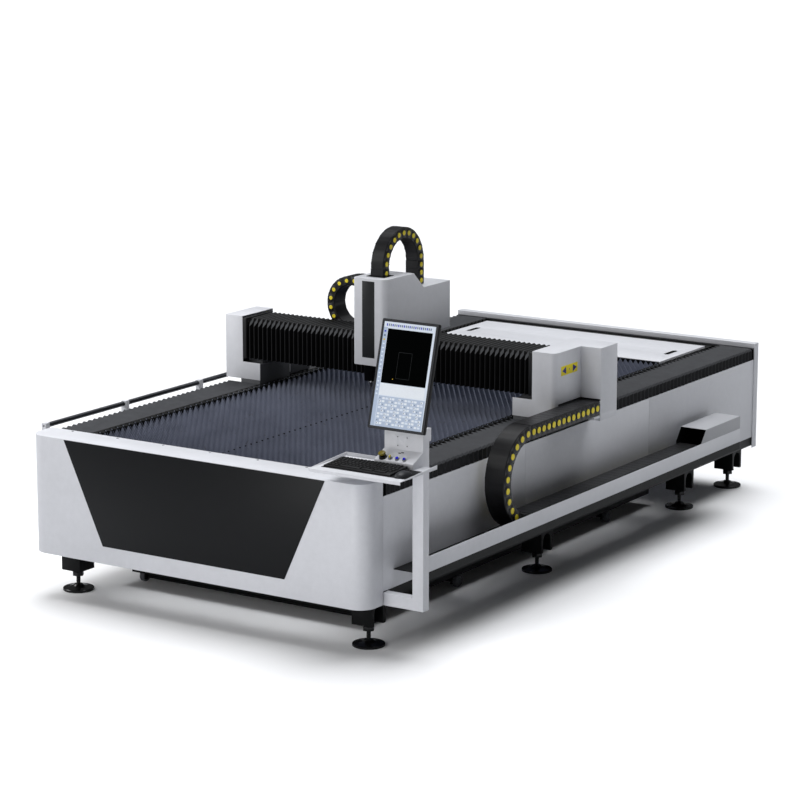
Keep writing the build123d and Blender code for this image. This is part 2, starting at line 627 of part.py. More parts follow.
# Linear rails and gear racks along both side beams
rail_front = BED_FRONT + RAIL_END_GAP
rail_length = BED_REAR - BED_FRONT - 2 * RAIL_END_GAP
with BuildPart() as rails_and_racks:
    with BuildSketch(section_y(rail_front)):
        with Locations(*[(side * RAIL_X, FRAME_TOP + RAIL_HEIGHT / 2) for side in (-1, 1)]):
            Rectangle(RAIL_WIDTH, RAIL_HEIGHT)
        with Locations(*[(side * RACK_X, FRAME_TOP + RACK_HEIGHT / 2) for side in (-1, 1)]):
            Rectangle(RACK_WIDTH, RACK_HEIGHT)
    extrude(amount=-rail_length)
write(rails_and_racks.part, "rails_and_racks")

# Ledges that carry the slats, an angle along each side beam
with BuildPart() as slat_ledges:
    with BuildSketch(section_y(rail_front)):
        for side in (-1, 1):
            with Locations((side * (SIDE_INNER - LEDGE_REACH / 2), LEDGE_TOP - LEDGE_THICKNESS / 2)):
                Rectangle(LEDGE_REACH, LEDGE_THICKNESS)
            with Locations((side * (SIDE_INNER - LEDGE_THICKNESS / 2), LEDGE_TOP - LEDGE_DROP / 2)):
                Rectangle(LEDGE_THICKNESS, LEDGE_DROP)
    extrude(amount=-rail_length)
write(slat_ledges.part, "slat_ledges")

# Slats: upright blades with a sawtooth top, standing on the ledges
tooth_pitch = 2 * SLAT_HALF_LENGTH / SLAT_TEETH
tooth_points = []
for i in range(SLAT_TEETH):
    start_x = -SLAT_HALF_LENGTH + tooth_pitch * i
    tooth_points.append((start_x, TABLE_TOP - SLAT_TOOTH_DEPTH))
    tooth_points.append((start_x + tooth_pitch / 2, TABLE_TOP))
tooth_points.append((SLAT_HALF_LENGTH, TABLE_TOP - SLAT_TOOTH_DEPTH))
with BuildPart() as slat:
    with BuildSketch(section_y(SLAT_FIRST_Y)):
        with BuildLine():
            Polyline((SLAT_HALF_LENGTH, LEDGE_TOP), (-SLAT_HALF_LENGTH, LEDGE_TOP), *tooth_points, close=True)
        make_face()
    extrude(amount=-SLAT_THICKNESS)
slat_row = [slat.part.moved(Location((0, SLAT_PITCH * i, 0))) for i in range(SLAT_COUNT)]
write_group(slat_row, "slats")

# Removable plate behind the slats, on two folded legs, with a hand slot near each side
plate_middle_y = (PLATE_FRONT + PLATE_REAR) / 2
with BuildPart() as rear_cover_plate:
    with BuildSketch(section_y(PLATE_FRONT)):
        with Locations((0, (TABLE_TOP + LEDGE_TOP) / 2)):
            Rectangle(2 * PLATE_HALF_WIDTH, SLAT_HEIGHT)
        with Locations((0, (TABLE_TOP + LEDGE_TOP) / 2 - PLATE_THICKNESS / 2 - OVERRUN / 2)):
            Rectangle(
                2 * (PLATE_HALF_WIDTH - PLATE_THICKNESS),
                SLAT_HEIGHT - PLATE_THICKNESS + OVERRUN,
                mode=Mode.SUBTRACT,
            )
    extrude(amount=-(PLATE_REAR - PLATE_FRONT))
    with BuildSketch(Plane.XY.offset(TABLE_TOP)):
        with Locations((-PLATE_SLOT_X, plate_middle_y), (PLATE_SLOT_X, plate_middle_y)):
            SlotOverall(PLATE_SLOT_LENGTH, PLATE_SLOT_WIDTH, rotation=90)
    extrude(amount=-PLATE_THICKNESS, mode=Mode.SUBTRACT)
write(rear_cover_plate.part, "rear_cover_plate")


def rail_bellows(side, start_y, end_y, name):
    """Pleated cover over one rail: a flat pleated top and a pleated skirt outside."""
    folds = ceil((end_y - start_y) / BELLOWS_PITCH)
    pitch = (end_y - start_y) / folds
    valley = TABLE_TOP - BELLOWS_PLEAT
    ridge = [(start_y, valley)]
    flank = [(side * (BED_HALF_WIDTH - BELLOWS_PLEAT), start_y)]
    for i in range(folds):
        crest_y = start_y + pitch * (i + 1 / 2)
        ridge += [(crest_y, TABLE_TOP), (start_y + pitch * (i + 1), valley)]
        flank.append((side * BED_HALF_WIDTH, crest_y))
        flank.append((side * (BED_HALF_WIDTH - BELLOWS_PLEAT), start_y + pitch * (i + 1)))
    backing = valley - BELLOWS_BACKING
    skirt_back = side * (BED_HALF_WIDTH - BELLOWS_PLEAT - BELLOWS_BACKING)
    inner = min(side * BELLOWS_INNER, skirt_back)
    with BuildPart() as bellows:
        with BuildSketch(Plane.YZ.offset(inner)):
            with BuildLine():
                Polyline(*ridge, (end_y, backing), (start_y, backing), close=True)
            make_face()
        extrude(amount=abs(skirt_back - side * BELLOWS_INNER))
        with BuildSketch(Plane.XY.offset(PANEL_TOP + SKIRT_GAP)):
            with BuildLine():
                Polyline(*flank, (skirt_back, end_y), (skirt_back, start_y), close=True)
            make_face()
        extrude(amount=valley - PANEL_TOP - SKIRT_GAP)
    write(bellows.part, name)


saddle_front = GANTRY_FRONT + SHEET
left_saddle_rear = LEFT_COVER_REAR - SHEET
right_saddle_rear = RIGHT_COVER_REAR - SHEET
rail_bellows(-1, BED_FRONT, saddle_front, "rail_bellows_front_left")
rail_bellows(1, BED_FRONT, saddle_front, "rail_bellows_front_right")
rail_bellows(-1, left_saddle_rear, BED_REAR, "rail_bellows_rear_left")
rail_bellows(1, right_saddle_rear, BED_REAR, "rail_bellows_rear_right")


# Energy chains, as link strips: a strip's outline runs along its path with a notch at each link joint
def straight_links(start, end, low, high, pitch):
    """Outline of a straight run of links from start to end, between two levels."""
    links = max(1, round(abs(end - start) / pitch))
    step = (end - start) / links
    top = [(start, high)]
    bottom = [(start, low)]
    for i in range(1, links):
        joint = start + step * i
        notch = CHAIN_NOTCH if step > 0 else -CHAIN_NOTCH
        top += [(joint - notch, high), (joint, high - CHAIN_NOTCH), (joint + notch, high)]
        bottom += [(joint - notch, low), (joint, low + CHAIN_NOTCH), (joint + notch, low)]
    return top + [(end, high), (end, low)] + bottom[::-1][:-1] + [(start, low)]


def bent_links(centre, radius, thickness, start_angle, end_angle, pitch):
    """Outline of links bent round a centre, each link a straight chord of the bend."""
    links = max(2, round(radius * radians(abs(end_angle - start_angle)) / pitch))
    outer, inner = [], []
    for i in range(links + 1):
        angle = radians(start_angle + (end_angle - start_angle) * i / links)
        notch = 0 if i in (0, links) else CHAIN_NOTCH
        reach = radius + thickness / 2 - notch
        bore = radius - thickness / 2
        outer.append((centre[0] + reach * cos(angle), centre[1] + reach * sin(angle)))
        inner.append((centre[0] + bore * cos(angle), centre[1] + bore * sin(angle)))
    return outer + inner[::-1]


def chain_strip(plane, outline, width, name):
    """Extrude a chain outline across the chain's width and write it."""
    with BuildPart() as strip:
        with BuildSketch(plane):
            with BuildLine():
                Polyline(*outline, close=True)
            make_face()
        extrude(amount=width)
    write(strip.part, name)


# Gantry chain: out of the gantry's right cover, round a bend and back along the trough
chain_side = Plane.YZ.offset(GANTRY_CHAIN_INNER)
upper_low = GANTRY_CHAIN_TOP - GANTRY_CHAIN_THICKNESS
bend_z = GANTRY_CHAIN_TOP - GANTRY_CHAIN_THICKNESS / 2 - GANTRY_CHAIN_RADIUS
lower_high = bend_z - GANTRY_CHAIN_RADIUS + GANTRY_CHAIN_THICKNESS / 2
lower_low = lower_high - GANTRY_CHAIN_THICKNESS
bend_centre = (GANTRY_BEND_Y, bend_z)
chain_strip(
    chain_side,
    straight_links(GANTRY_BEND_Y, RIGHT_COVER_STEP, upper_low, GANTRY_CHAIN_TOP, GANTRY_CHAIN_PITCH),
    GANTRY_CHAIN_WIDTH,
    "gantry_chain_upper_run",
)
chain_strip(
    chain_side,
    bent_links(bend_centre, GANTRY_CHAIN_RADIUS, GANTRY_CHAIN_THICKNESS, 90, 180, GANTRY_CHAIN_PITCH),
    GANTRY_CHAIN_WIDTH,
    "gantry_chain_bend_upper",
)
chain_strip(
    chain_side,
    bent_links(bend_centre, GANTRY_CHAIN_RADIUS, GANTRY_CHAIN_THICKNESS, 180, 270, GANTRY_CHAIN_PITCH),
    GANTRY_CHAIN_WIDTH,
    "gantry_chain_bend_lower",
)
chain_strip(
    chain_side,
    straight_links(GANTRY_BEND_Y, GANTRY_CHAIN_FIXED_Y, lower_low, lower_high, GANTRY_CHAIN_PITCH),
    GANTRY_CHAIN_WIDTH,
    "gantry_chain_lower_run",
)

# Trough under the gantry chain, hung on the right side panel
trough_bottom = TROUGH_FLOOR - SHEET
with BuildPart() as chain_trough:
    with BuildSketch(section_y(TROUGH_FRONT)):
        with BuildLine():
            Polyline(
                (BED_HALF_WIDTH, trough_bottom),
                (TROUGH_OUTER - SHEET, trough_bottom),
                (TROUGH_OUTER - SHEET, trough_bottom - TROUGH_SKIRT),
                (TROUGH_OUTER, trough_bottom - TROUGH_SKIRT),
                (TROUGH_OUTER, TROUGH_LIP_TOP),
                (TROUGH_OUTER - SHEET, TROUGH_LIP_TOP),
                (TROUGH_OUTER - SHEET, TROUGH_FLOOR),
                (BED_HALF_WIDTH + SHEET, TROUGH_FLOOR),
                (BED_HALF_WIDTH + SHEET, TROUGH_FLOOR + TROUGH_BACK_HEIGHT),
                (BED_HALF_WIDTH, TROUGH_FLOOR + TROUGH_BACK_HEIGHT),
                close=True,
            )
        make_face()
    extrude(amount=-(TROUGH_REAR - TROUGH_FRONT))
write(chain_trough.part, "chain_trough")

# Box over the trough's rear end, with a slanted open mouth and an inner wall down to the trough's floor
box_top = TROUGH_LIP_TOP + BOX_RISE
with BuildPart() as trough_rear_box:
    with BuildSketch(Plane.YZ.offset(BOX_INNER)):
        with BuildLine():
            Polyline(
                (BOX_FRONT, TROUGH_LIP_TOP),
                (BOX_FRONT + BOX_SLANT, box_top),
                (TROUGH_REAR, box_top),
                (TROUGH_REAR, TROUGH_LIP_TOP),
                close=True,
            )
        make_face()
    extrude(amount=TROUGH_OUTER - BOX_INNER)
    block(
        (BOX_INNER + SHEET, BOX_FRONT - OVERRUN, TROUGH_LIP_TOP - OVERRUN),
        (TROUGH_OUTER - SHEET, TROUGH_REAR - SHEET, box_top - SHEET),
        mode=Mode.SUBTRACT,
    )
    block((BOX_INNER, BOX_FRONT, TROUGH_FLOOR), (BOX_INNER + SHEET, TROUGH_REAR, TROUGH_LIP_TOP))
    block(
        (BOX_INNER, TROUGH_REAR - SHEET, TROUGH_FLOOR), (TROUGH_OUTER - SHEET, TROUGH_REAR, TROUGH_LIP_TOP)
    )
write(trough_rear_box.part, "trough_rear_box")

# Gantry saddles: grooved bearing blocks on the rails, with a pad under each end of the beam
with BuildPart() as gantry_saddles:
    for side, rear in ((-1, left_saddle_rear), (1, right_saddle_rear)):
        span = sorted((side * SADDLE_INNER, side * (SADDLE_INNER + SADDLE_WIDTH)))
        groove = RAIL_WIDTH / 2 + RUN_CLEAR
        pad = sorted((side * (SADDLE_INNER + PAD_INSET), side * END_COVER_INNER))
        block((span[0], saddle_front, LEDGE_TOP + RUN_CLEAR), (span[1], rear, SADDLE_TOP))
        block(
            (side * RAIL_X - groove, saddle_front - OVERRUN, FRAME_TOP),
            (side * RAIL_X + groove, rear + OVERRUN, FRAME_TOP + RAIL_HEIGHT + RUN_CLEAR),
            mode=Mode.SUBTRACT,
        )
        block((pad[0], BEAM_FRONT, SADDLE_TOP), (pad[1], BEAM_REAR, BEAM_BOTTOM))
write(gantry_saddles.part, "gantry_saddles")

# Left end cover: an L-shaped front and rear, an outer side and a top
with BuildPart() as left_end_cover:
    block((-LEFT_COVER_OUTER, GANTRY_FRONT, LEG_BOTTOM), (-END_COVER_INNER, LEFT_COVER_REAR, GANTRY_TOP))
    block((-END_COVER_INNER, GANTRY_FRONT, LEG_BOTTOM), (-LEG_INNER, LEFT_COVER_REAR, LEG_TOP))
    block(
        (-LEFT_COVER_OUTER + SHEET, saddle_front, LEG_BOTTOM - OVERRUN),
        (-LEG_INNER + OVERRUN, left_saddle_rear, GANTRY_TOP - SHEET),
        mode=Mode.SUBTRACT,
    )
write(left_end_cover.part, "left_end_cover")

# Right end cover: deeper and stepped outwards behind, where the chain goes in
with BuildPart() as right_end_cover:
    with BuildSketch(Plane.XY.offset(LEG_BOTTOM)) as right_plan:
        with BuildLine():
            Polyline(
                (END_COVER_INNER, GANTRY_FRONT),
                (RIGHT_COVER_OUTER, GANTRY_FRONT),
                (RIGHT_COVER_OUTER, RIGHT_COVER_STEP),
                (RIGHT_COVER_WIDE, RIGHT_COVER_STEP),
                (RIGHT_COVER_WIDE, RIGHT_COVER_REAR),
                (END_COVER_INNER, RIGHT_COVER_REAR),
                close=True,
            )
        make_face()
        rounded = right_plan.vertices().group_by(Axis.Y)[0].sort_by(Axis.X)[-1]
        fillet(rounded, RIGHT_COVER_ROUND)
    extrude(amount=GANTRY_TOP - LEG_BOTTOM)
    block((LEG_INNER, GANTRY_FRONT, LEG_BOTTOM), (END_COVER_INNER, RIGHT_COVER_REAR, LEG_TOP))
    block(
        (LEG_INNER - OVERRUN, saddle_front, LEG_BOTTOM - OVERRUN),
        (RIGHT_COVER_OUTER - RIGHT_COVER_ROUND, right_saddle_rear, GANTRY_TOP - SHEET),
        mode=Mode.SUBTRACT,
    )
    block(
        (END_COVER_INNER, saddle_front + RIGHT_COVER_ROUND, LEG_BOTTOM - OVERRUN),
        (RIGHT_COVER_OUTER - SHEET, right_saddle_rear, GANTRY_TOP - SHEET),
        mode=Mode.SUBTRACT,
    )
    block(
        (END_COVER_INNER, RIGHT_COVER_STEP + SHEET, LEG_BOTTOM - OVERRUN),
        (RIGHT_COVER_WIDE - SHEET, right_saddle_rear, GANTRY_TOP - SHEET),
        mode=Mode.SUBTRACT,
    )
write(right_end_cover.part, "right_end_cover")

# Gantry drive motors, each standing on a gearbox bolted to its saddle's outer face
with BuildPart() as gantry_motors:
    for side in (-1, 1):
        with BuildSketch(Plane.XY.offset(SADDLE_TOP)):
            with Locations((side * MOTOR_X, MOTOR_Y)):
                RectangleRounded(MOTOR_SIZE, MOTOR_SIZE, MOTOR_SIZE / 8)
        extrude(amount=-MOTOR_GEARBOX_HEIGHT)
        with BuildSketch(Plane.XY.offset(SADDLE_TOP)):
            with Locations((side * MOTOR_X, MOTOR_Y)):
                RectangleRounded(MOTOR_BODY_SIZE, MOTOR_BODY_SIZE, MOTOR_BODY_SIZE / 5)
        extrude(amount=MOTOR_BODY_HEIGHT)
write(gantry_motors.part, "gantry_motors")

# Gantry beam: a box beam with two rails in front and a chain shelf behind
shelf_front = BEAM_REAR
shelf_rear = CARRIAGE_CHAIN_FRONT + CARRIAGE_CHAIN_WIDTH + SHELF_LIP
carriage_bend_z = CARRIAGE_CHAIN_TOP - CARRIAGE_CHAIN_THICKNESS / 2 - CARRIAGE_CHAIN_RADIUS
carriage_lower_low = carriage_bend_z - CARRIAGE_CHAIN_RADIUS - CARRIAGE_CHAIN_THICKNESS / 2
shelf_top = carriage_lower_low - RUN_CLEAR
rail_zs = (BEAM_BOTTOM + BEAM_RAIL_INSET, BEAM_TOP - BEAM_RAIL_INSET)
beam_rail_half = END_COVER_INNER - BEAM_RAIL_END_GAP
with BuildPart() as gantry_beam:
    with BuildSketch(Plane.YZ.offset(-END_COVER_INNER)):
        with Locations((BEAM_FRONT + BEAM_DEPTH / 2, BEAM_BOTTOM + BEAM_HEIGHT / 2)):
            Rectangle(BEAM_DEPTH, BEAM_HEIGHT)
            Rectangle(BEAM_DEPTH - 2 * BEAM_WALL, BEAM_HEIGHT - 2 * BEAM_WALL, mode=Mode.SUBTRACT)
    extrude(amount=2 * END_COVER_INNER)
    for rail_z in rail_zs:
        block(
            (-beam_rail_half, BEAM_FRONT - BEAM_RAIL_DEPTH, rail_z - BEAM_RAIL_HEIGHT / 2),
            (beam_rail_half, BEAM_FRONT, rail_z + BEAM_RAIL_HEIGHT / 2),
        )
    block(
        (SHELF_LEFT, shelf_front, shelf_top - SHELF_THICKNESS),
        (CARRIAGE_CHAIN_FIXED_X + SHELF_LIP, shelf_rear, shelf_top),
    )
write(gantry_beam.part, "gantry_beam")


def fold_edge(inset):
    """The folds' outline at a depth, from the front's foot over the chamfer to the rear."""
    slant = FOLD_TOP - FOLD_CHAMFER - FOLD_FRONT - inset * sqrt(2)
    front = FOLD_FRONT + inset
    top = FOLD_TOP - inset
    return [(front, FOLD_BOTTOM), (front, front + slant), (top - slant, top), (FOLD_REAR, top)]


def beam_bellows(start_x, end_x, name):
    """Accordion folds over the beam's front and top, chamfered along the top front edge."""
    folds = ceil((end_x - start_x) / FOLD_PITCH)
    back = fold_edge(FOLD_DEPTH + FOLD_BACKING)
    with BuildPart() as bellows:
        for i in range(2 * folds + 1):
            front = fold_edge(0 if i % 2 else FOLD_DEPTH)
            with BuildSketch(Plane.YZ.offset(start_x + (end_x - start_x) * i / (2 * folds))):
                with BuildLine():
                    Polyline(*front, *back[::-1], close=True)
                make_face()
        loft(ruled=True)
    write(bellows.part, name)


beam_bellows(-END_COVER_INNER, CARRIAGE_LEFT, "beam_bellows_left")
beam_bellows(CARRIAGE_RIGHT, END_COVER_INNER, "beam_bellows_right")

# Carriage: a front plate with bearings on the beam rails and a top plate
with BuildPart() as carriage_plate:
    plate_back = CARRIAGE_FRONT + CARRIAGE_PLATE
    block((CARRIAGE_LEFT, CARRIAGE_FRONT, CARRIAGE_BOTTOM), (CARRIAGE_RIGHT, plate_back, FOLD_TOP))
    top_plate_low = FOLD_TOP - CARRIAGE_TOP_PLATE
    block((CARRIAGE_LEFT, CARRIAGE_FRONT, top_plate_low), (CARRIAGE_RIGHT, FOLD_REAR, FOLD_TOP))
    for rail_z in rail_zs:
        block(
            (CARRIAGE_LEFT, plate_back, rail_z - BEARING_HEIGHT / 2),
            (CARRIAGE_RIGHT, plate_back + BEARING_DEPTH, rail_z + BEARING_HEIGHT / 2),
        )
        block(
            (
                CARRIAGE_LEFT - OVERRUN,
                BEAM_FRONT - BEAM_RAIL_DEPTH - RUN_CLEAR,
                rail_z - BEAM_RAIL_HEIGHT / 2 - RUN_CLEAR,
            ),
            (CARRIAGE_RIGHT + OVERRUN, BEAM_FRONT, rail_z + BEAM_RAIL_HEIGHT / 2 + RUN_CLEAR),
            mode=Mode.SUBTRACT,
        )
write(carriage_plate.part, "carriage_plate")

# Head cover: a folded sheet over the head and carriage, open below, with a port for each chain
torch_back = CARRIAGE_FRONT - RUN_CLEAR
with BuildPart() as head_cover:
    with BuildSketch(Plane.YZ.offset(CARRIAGE_LEFT)):
        with BuildLine():
            Polyline(
                (HEAD_FRONT, HEAD_BOTTOM),
                (HEAD_FRONT, HEAD_TOP),
                (HEAD_BROW_REAR, HEAD_TOP),
                (HEAD_SLOPE_REAR, HEAD_REAR_TOP),
                (HEAD_REAR, HEAD_REAR_TOP),
                (HEAD_REAR, FOLD_TOP),
                (CARRIAGE_FRONT, FOLD_TOP),
                (CARRIAGE_FRONT, HEAD_BOTTOM),
                close=True,
            )
        make_face()
    extrude(amount=CARRIAGE_RIGHT - CARRIAGE_LEFT)
    uprights = head_cover.edges().filter_by(Axis.Z).group_by(Axis.Y)[0].sort_by(Axis.X)
    fillet(uprights[0], HEAD_LEFT_ROUND)
    uprights = head_cover.edges().filter_by(Axis.Z).group_by(Axis.Y)[0].sort_by(Axis.X)
    fillet(uprights[-1], HEAD_RIGHT_ROUND)
    slope = hypot(HEAD_SLOPE_REAR - HEAD_BROW_REAR, HEAD_TOP - HEAD_REAR_TOP)
    slope_set = SHEET * (slope - (HEAD_SLOPE_REAR - HEAD_BROW_REAR)) / (HEAD_TOP - HEAD_REAR_TOP)
    with BuildSketch(Plane.YZ.offset(CARRIAGE_LEFT + SHEET)):
        with BuildLine():
            Polyline(
                (HEAD_FRONT + HEAD_RIGHT_ROUND, HEAD_BOTTOM - OVERRUN),
                (HEAD_FRONT + HEAD_RIGHT_ROUND, HEAD_TOP - SHEET),
                (HEAD_BROW_REAR - slope_set, HEAD_TOP - SHEET),
                (HEAD_SLOPE_REAR - slope_set, HEAD_REAR_TOP - SHEET),
                (HEAD_REAR - SHEET, HEAD_REAR_TOP - SHEET),
                (HEAD_REAR - SHEET, FOLD_TOP - OVERRUN),
                (CARRIAGE_FRONT + OVERRUN, FOLD_TOP - OVERRUN),
                (CARRIAGE_FRONT + OVERRUN, HEAD_BOTTOM - OVERRUN),
                close=True,
            )
        make_face()
    extrude(amount=CARRIAGE_RIGHT - CARRIAGE_LEFT - 2 * SHEET, mode=Mode.SUBTRACT)
    block(
        (CARRIAGE_LEFT + HEAD_LEFT_ROUND, HEAD_FRONT + SHEET, HEAD_BOTTOM - OVERRUN),
        (CARRIAGE_RIGHT - HEAD_RIGHT_ROUND, HEAD_FRONT + HEAD_RIGHT_ROUND, HEAD_TOP - SHEET),
        mode=Mode.SUBTRACT,
    )
    block(
        (
            LIFT_CHAIN_X - LIFT_CHAIN_WIDTH / 2 - CHAIN_PORT_MARGIN,
            LIFT_CHAIN_FRONT_Y - LIFT_CHAIN_THICKNESS / 2 - CHAIN_PORT_MARGIN,
            HEAD_TOP - SHEET - OVERRUN,
        ),
        (
            LIFT_CHAIN_X + LIFT_CHAIN_WIDTH / 2 + CHAIN_PORT_MARGIN,
            LIFT_CHAIN_FRONT_Y + LIFT_CHAIN_THICKNESS / 2 + CHAIN_PORT_MARGIN,
            HEAD_TOP + OVERRUN,
        ),
        mode=Mode.SUBTRACT,
    )
    block(
        (
            CARRIAGE_LEFT - OVERRUN,
            CARRIAGE_CHAIN_FRONT - CHAIN_PORT_MARGIN,
            CARRIAGE_CHAIN_TOP - CARRIAGE_CHAIN_THICKNESS - 2 * CHAIN_PORT_MARGIN,
        ),
        (
            CARRIAGE_LEFT + SHEET,
            CARRIAGE_CHAIN_FRONT + CARRIAGE_CHAIN_WIDTH + CHAIN_PORT_MARGIN,
            HEAD_REAR_TOP - SHEET,
        ),
        mode=Mode.SUBTRACT,
    )
write(head_cover.part, "head_cover")

# Cutting head: a body on the carriage's front with the sensor block below it
with BuildPart() as cutting_head:
    block((TORCH_LEFT, TORCH_FRONT, TORCH_BOTTOM), (TORCH_RIGHT, torch_back, TORCH_TOP))
    chamfer(cutting_head.edges().filter_by(Axis.Z).group_by(Axis.Y)[0], TORCH_BLOCK / 4)
    with BuildSketch(Plane.XY.offset(TORCH_BOTTOM)):
        with Locations((TORCH_X, TORCH_Y)):
            RectangleRounded(TORCH_BLOCK, TORCH_BLOCK, TORCH_BLOCK / 6)
    extrude(amount=-TORCH_BLOCK_HEIGHT)
write(cutting_head.part, "cutting_head")

# Nozzle: a turned cone with its gas bore, screwed under the sensor block
nozzle_top = TORCH_BOTTOM - TORCH_BLOCK_HEIGHT
with BuildPart() as nozzle:
    with BuildSketch(Plane.XZ):
        with BuildLine():
            Polyline(
                (NOZZLE_BORE_RADIUS, nozzle_top),
                (NOZZLE_TOP_RADIUS, nozzle_top),
                (NOZZLE_TOP_RADIUS, nozzle_top - NOZZLE_COLLAR),
                (NOZZLE_TIP_RADIUS, nozzle_top - NOZZLE_HEIGHT),
                (NOZZLE_BORE_RADIUS, nozzle_top - NOZZLE_HEIGHT),
                close=True,
            )
        make_face()
    revolve(axis=Axis.Z)
write(nozzle.part.moved(Location((TORCH_X, TORCH_Y, 0))), "nozzle")

# Carriage chain: behind the beam, from the head cover round a bend to the shelf
carriage_side = section_y(CARRIAGE_CHAIN_FRONT)
carriage_upper_low = CARRIAGE_CHAIN_TOP - CARRIAGE_CHAIN_THICKNESS
carriage_lower_high = carriage_lower_low + CARRIAGE_CHAIN_THICKNESS
carriage_centre = (CARRIAGE_BEND_X, carriage_bend_z)
chain_strip(
    carriage_side,
    straight_links(
        CARRIAGE_BEND_X, CARRIAGE_CHAIN_END_X, carriage_upper_low, CARRIAGE_CHAIN_TOP, CARRIAGE_CHAIN_PITCH
    ),
    -CARRIAGE_CHAIN_WIDTH,
    "carriage_chain_upper_run",
)
chain_strip(
    carriage_side,
    bent_links(
        carriage_centre, CARRIAGE_CHAIN_RADIUS, CARRIAGE_CHAIN_THICKNESS, 90, 180, CARRIAGE_CHAIN_PITCH
    ),
    -CARRIAGE_CHAIN_WIDTH,
    "carriage_chain_bend_upper",
)
chain_strip(
    carriage_side,
    bent_links(
        carriage_centre, CARRIAGE_CHAIN_RADIUS, CARRIAGE_CHAIN_THICKNESS, 180, 270, CARRIAGE_CHAIN_PITCH
    ),
    -CARRIAGE_CHAIN_WIDTH,
    "carriage_chain_bend_lower",
)
chain_strip(
    carriage_side,
    straight_links(
        CARRIAGE_BEND_X, CARRIAGE_CHAIN_FIXED_X, carriage_lower_low, carriage_lower_high, CARRIAGE_CHAIN_PITCH
    ),
    -CARRIAGE_CHAIN_WIDTH,
    "carriage_chain_lower_run",
)

# Lift chain: up from the cutting head through the cover and over to the cover's rear top
loop_centre_y = (LIFT_CHAIN_FRONT_Y + LIFT_CHAIN_REAR_Y) / 2
loop_radius = (LIFT_CHAIN_REAR_Y - LIFT_CHAIN_FRONT_Y) / 2
loop_centre = (loop_centre_y, LIFT_CHAIN_CENTRE_Z)
loop = bent_links(loop_centre, loop_radius, LIFT_CHAIN_THICKNESS, 180, 0, LIFT_CHAIN_PITCH)
half = LIFT_CHAIN_THICKNESS / 2
arch_points = len(loop) // 2
lift_outline = [
    (LIFT_CHAIN_FRONT_Y - half, TORCH_TOP),
    *loop[:arch_points],
    (LIFT_CHAIN_REAR_Y + half, HEAD_REAR_TOP),
    (LIFT_CHAIN_REAR_Y - half, HEAD_REAR_TOP),
    *loop[arch_points:],
    (LIFT_CHAIN_FRONT_Y + half, TORCH_TOP),
]
lift_side = Plane.YZ.offset(LIFT_CHAIN_X - LIFT_CHAIN_WIDTH / 2)
chain_strip(lift_side, lift_outline, LIFT_CHAIN_WIDTH, "lift_chain")

# Loading rollers: brackets on the left side panel, each with a bored upright, and rollers between them
roller_ys = [ROLLER_FIRST_Y + ROLLER_PITCH * i for i in range(ROLLER_COUNT + 1)]
bracket_top = ROLLER_Z + BRACKET_HALF
bracket_arm = PANEL_TOP - BRACKET_FOOT / 2
with BuildPart() as bracket:
    with BuildSketch(section_y(-BRACKET_WIDTH / 2)):
        with BuildLine():
            Polyline(
                (-BED_HALF_WIDTH, PANEL_TOP - BRACKET_FOOT),
                (-BED_HALF_WIDTH, PANEL_TOP),
                (-BED_HALF_WIDTH - BRACKET_PLATE, PANEL_TOP),
                (-BED_HALF_WIDTH - BRACKET_PLATE, bracket_arm),
                (-ROLLER_X + BRACKET_HALF, bracket_arm),
                (-ROLLER_X + BRACKET_HALF, bracket_top),
                (-ROLLER_X - BRACKET_HALF, bracket_top),
                (-ROLLER_X - BRACKET_HALF, bracket_arm - BRACKET_PLATE),
                (-BED_HALF_WIDTH - BRACKET_PLATE, bracket_arm - BRACKET_PLATE),
                (-BED_HALF_WIDTH - BRACKET_PLATE, PANEL_TOP - BRACKET_FOOT),
                close=True,
            )
        make_face()
        with Locations((-ROLLER_X, ROLLER_Z)):
            Circle(ROLLER_PIN_RADIUS + PIN_CLEAR, mode=Mode.SUBTRACT)
    extrude(amount=-BRACKET_WIDTH)
brackets = [bracket.part.moved(Location((0, y, 0))) for y in roller_ys]
write_group(brackets, "roller_brackets")

roller_length = ROLLER_PITCH - BRACKET_WIDTH - 2 * ROLLER_END_GAP
pin_reach = BRACKET_WIDTH / 2 - ROLLER_END_GAP
with BuildPart() as roller:
    with BuildSketch(section_y(0)):
        Circle(ROLLER_RADIUS)
    extrude(amount=roller_length / 2, both=True)
    with BuildSketch(section_y(0)):
        Circle(ROLLER_PIN_RADIUS)
    extrude(amount=roller_length / 2 + pin_reach, both=True)
for i in range(ROLLER_COUNT):
    middle_y = (roller_ys[i] + roller_ys[i + 1]) / 2
    write(roller.part.moved(Location((-ROLLER_X, middle_y, ROLLER_Z))), f"loading_roller_{i + 1}")

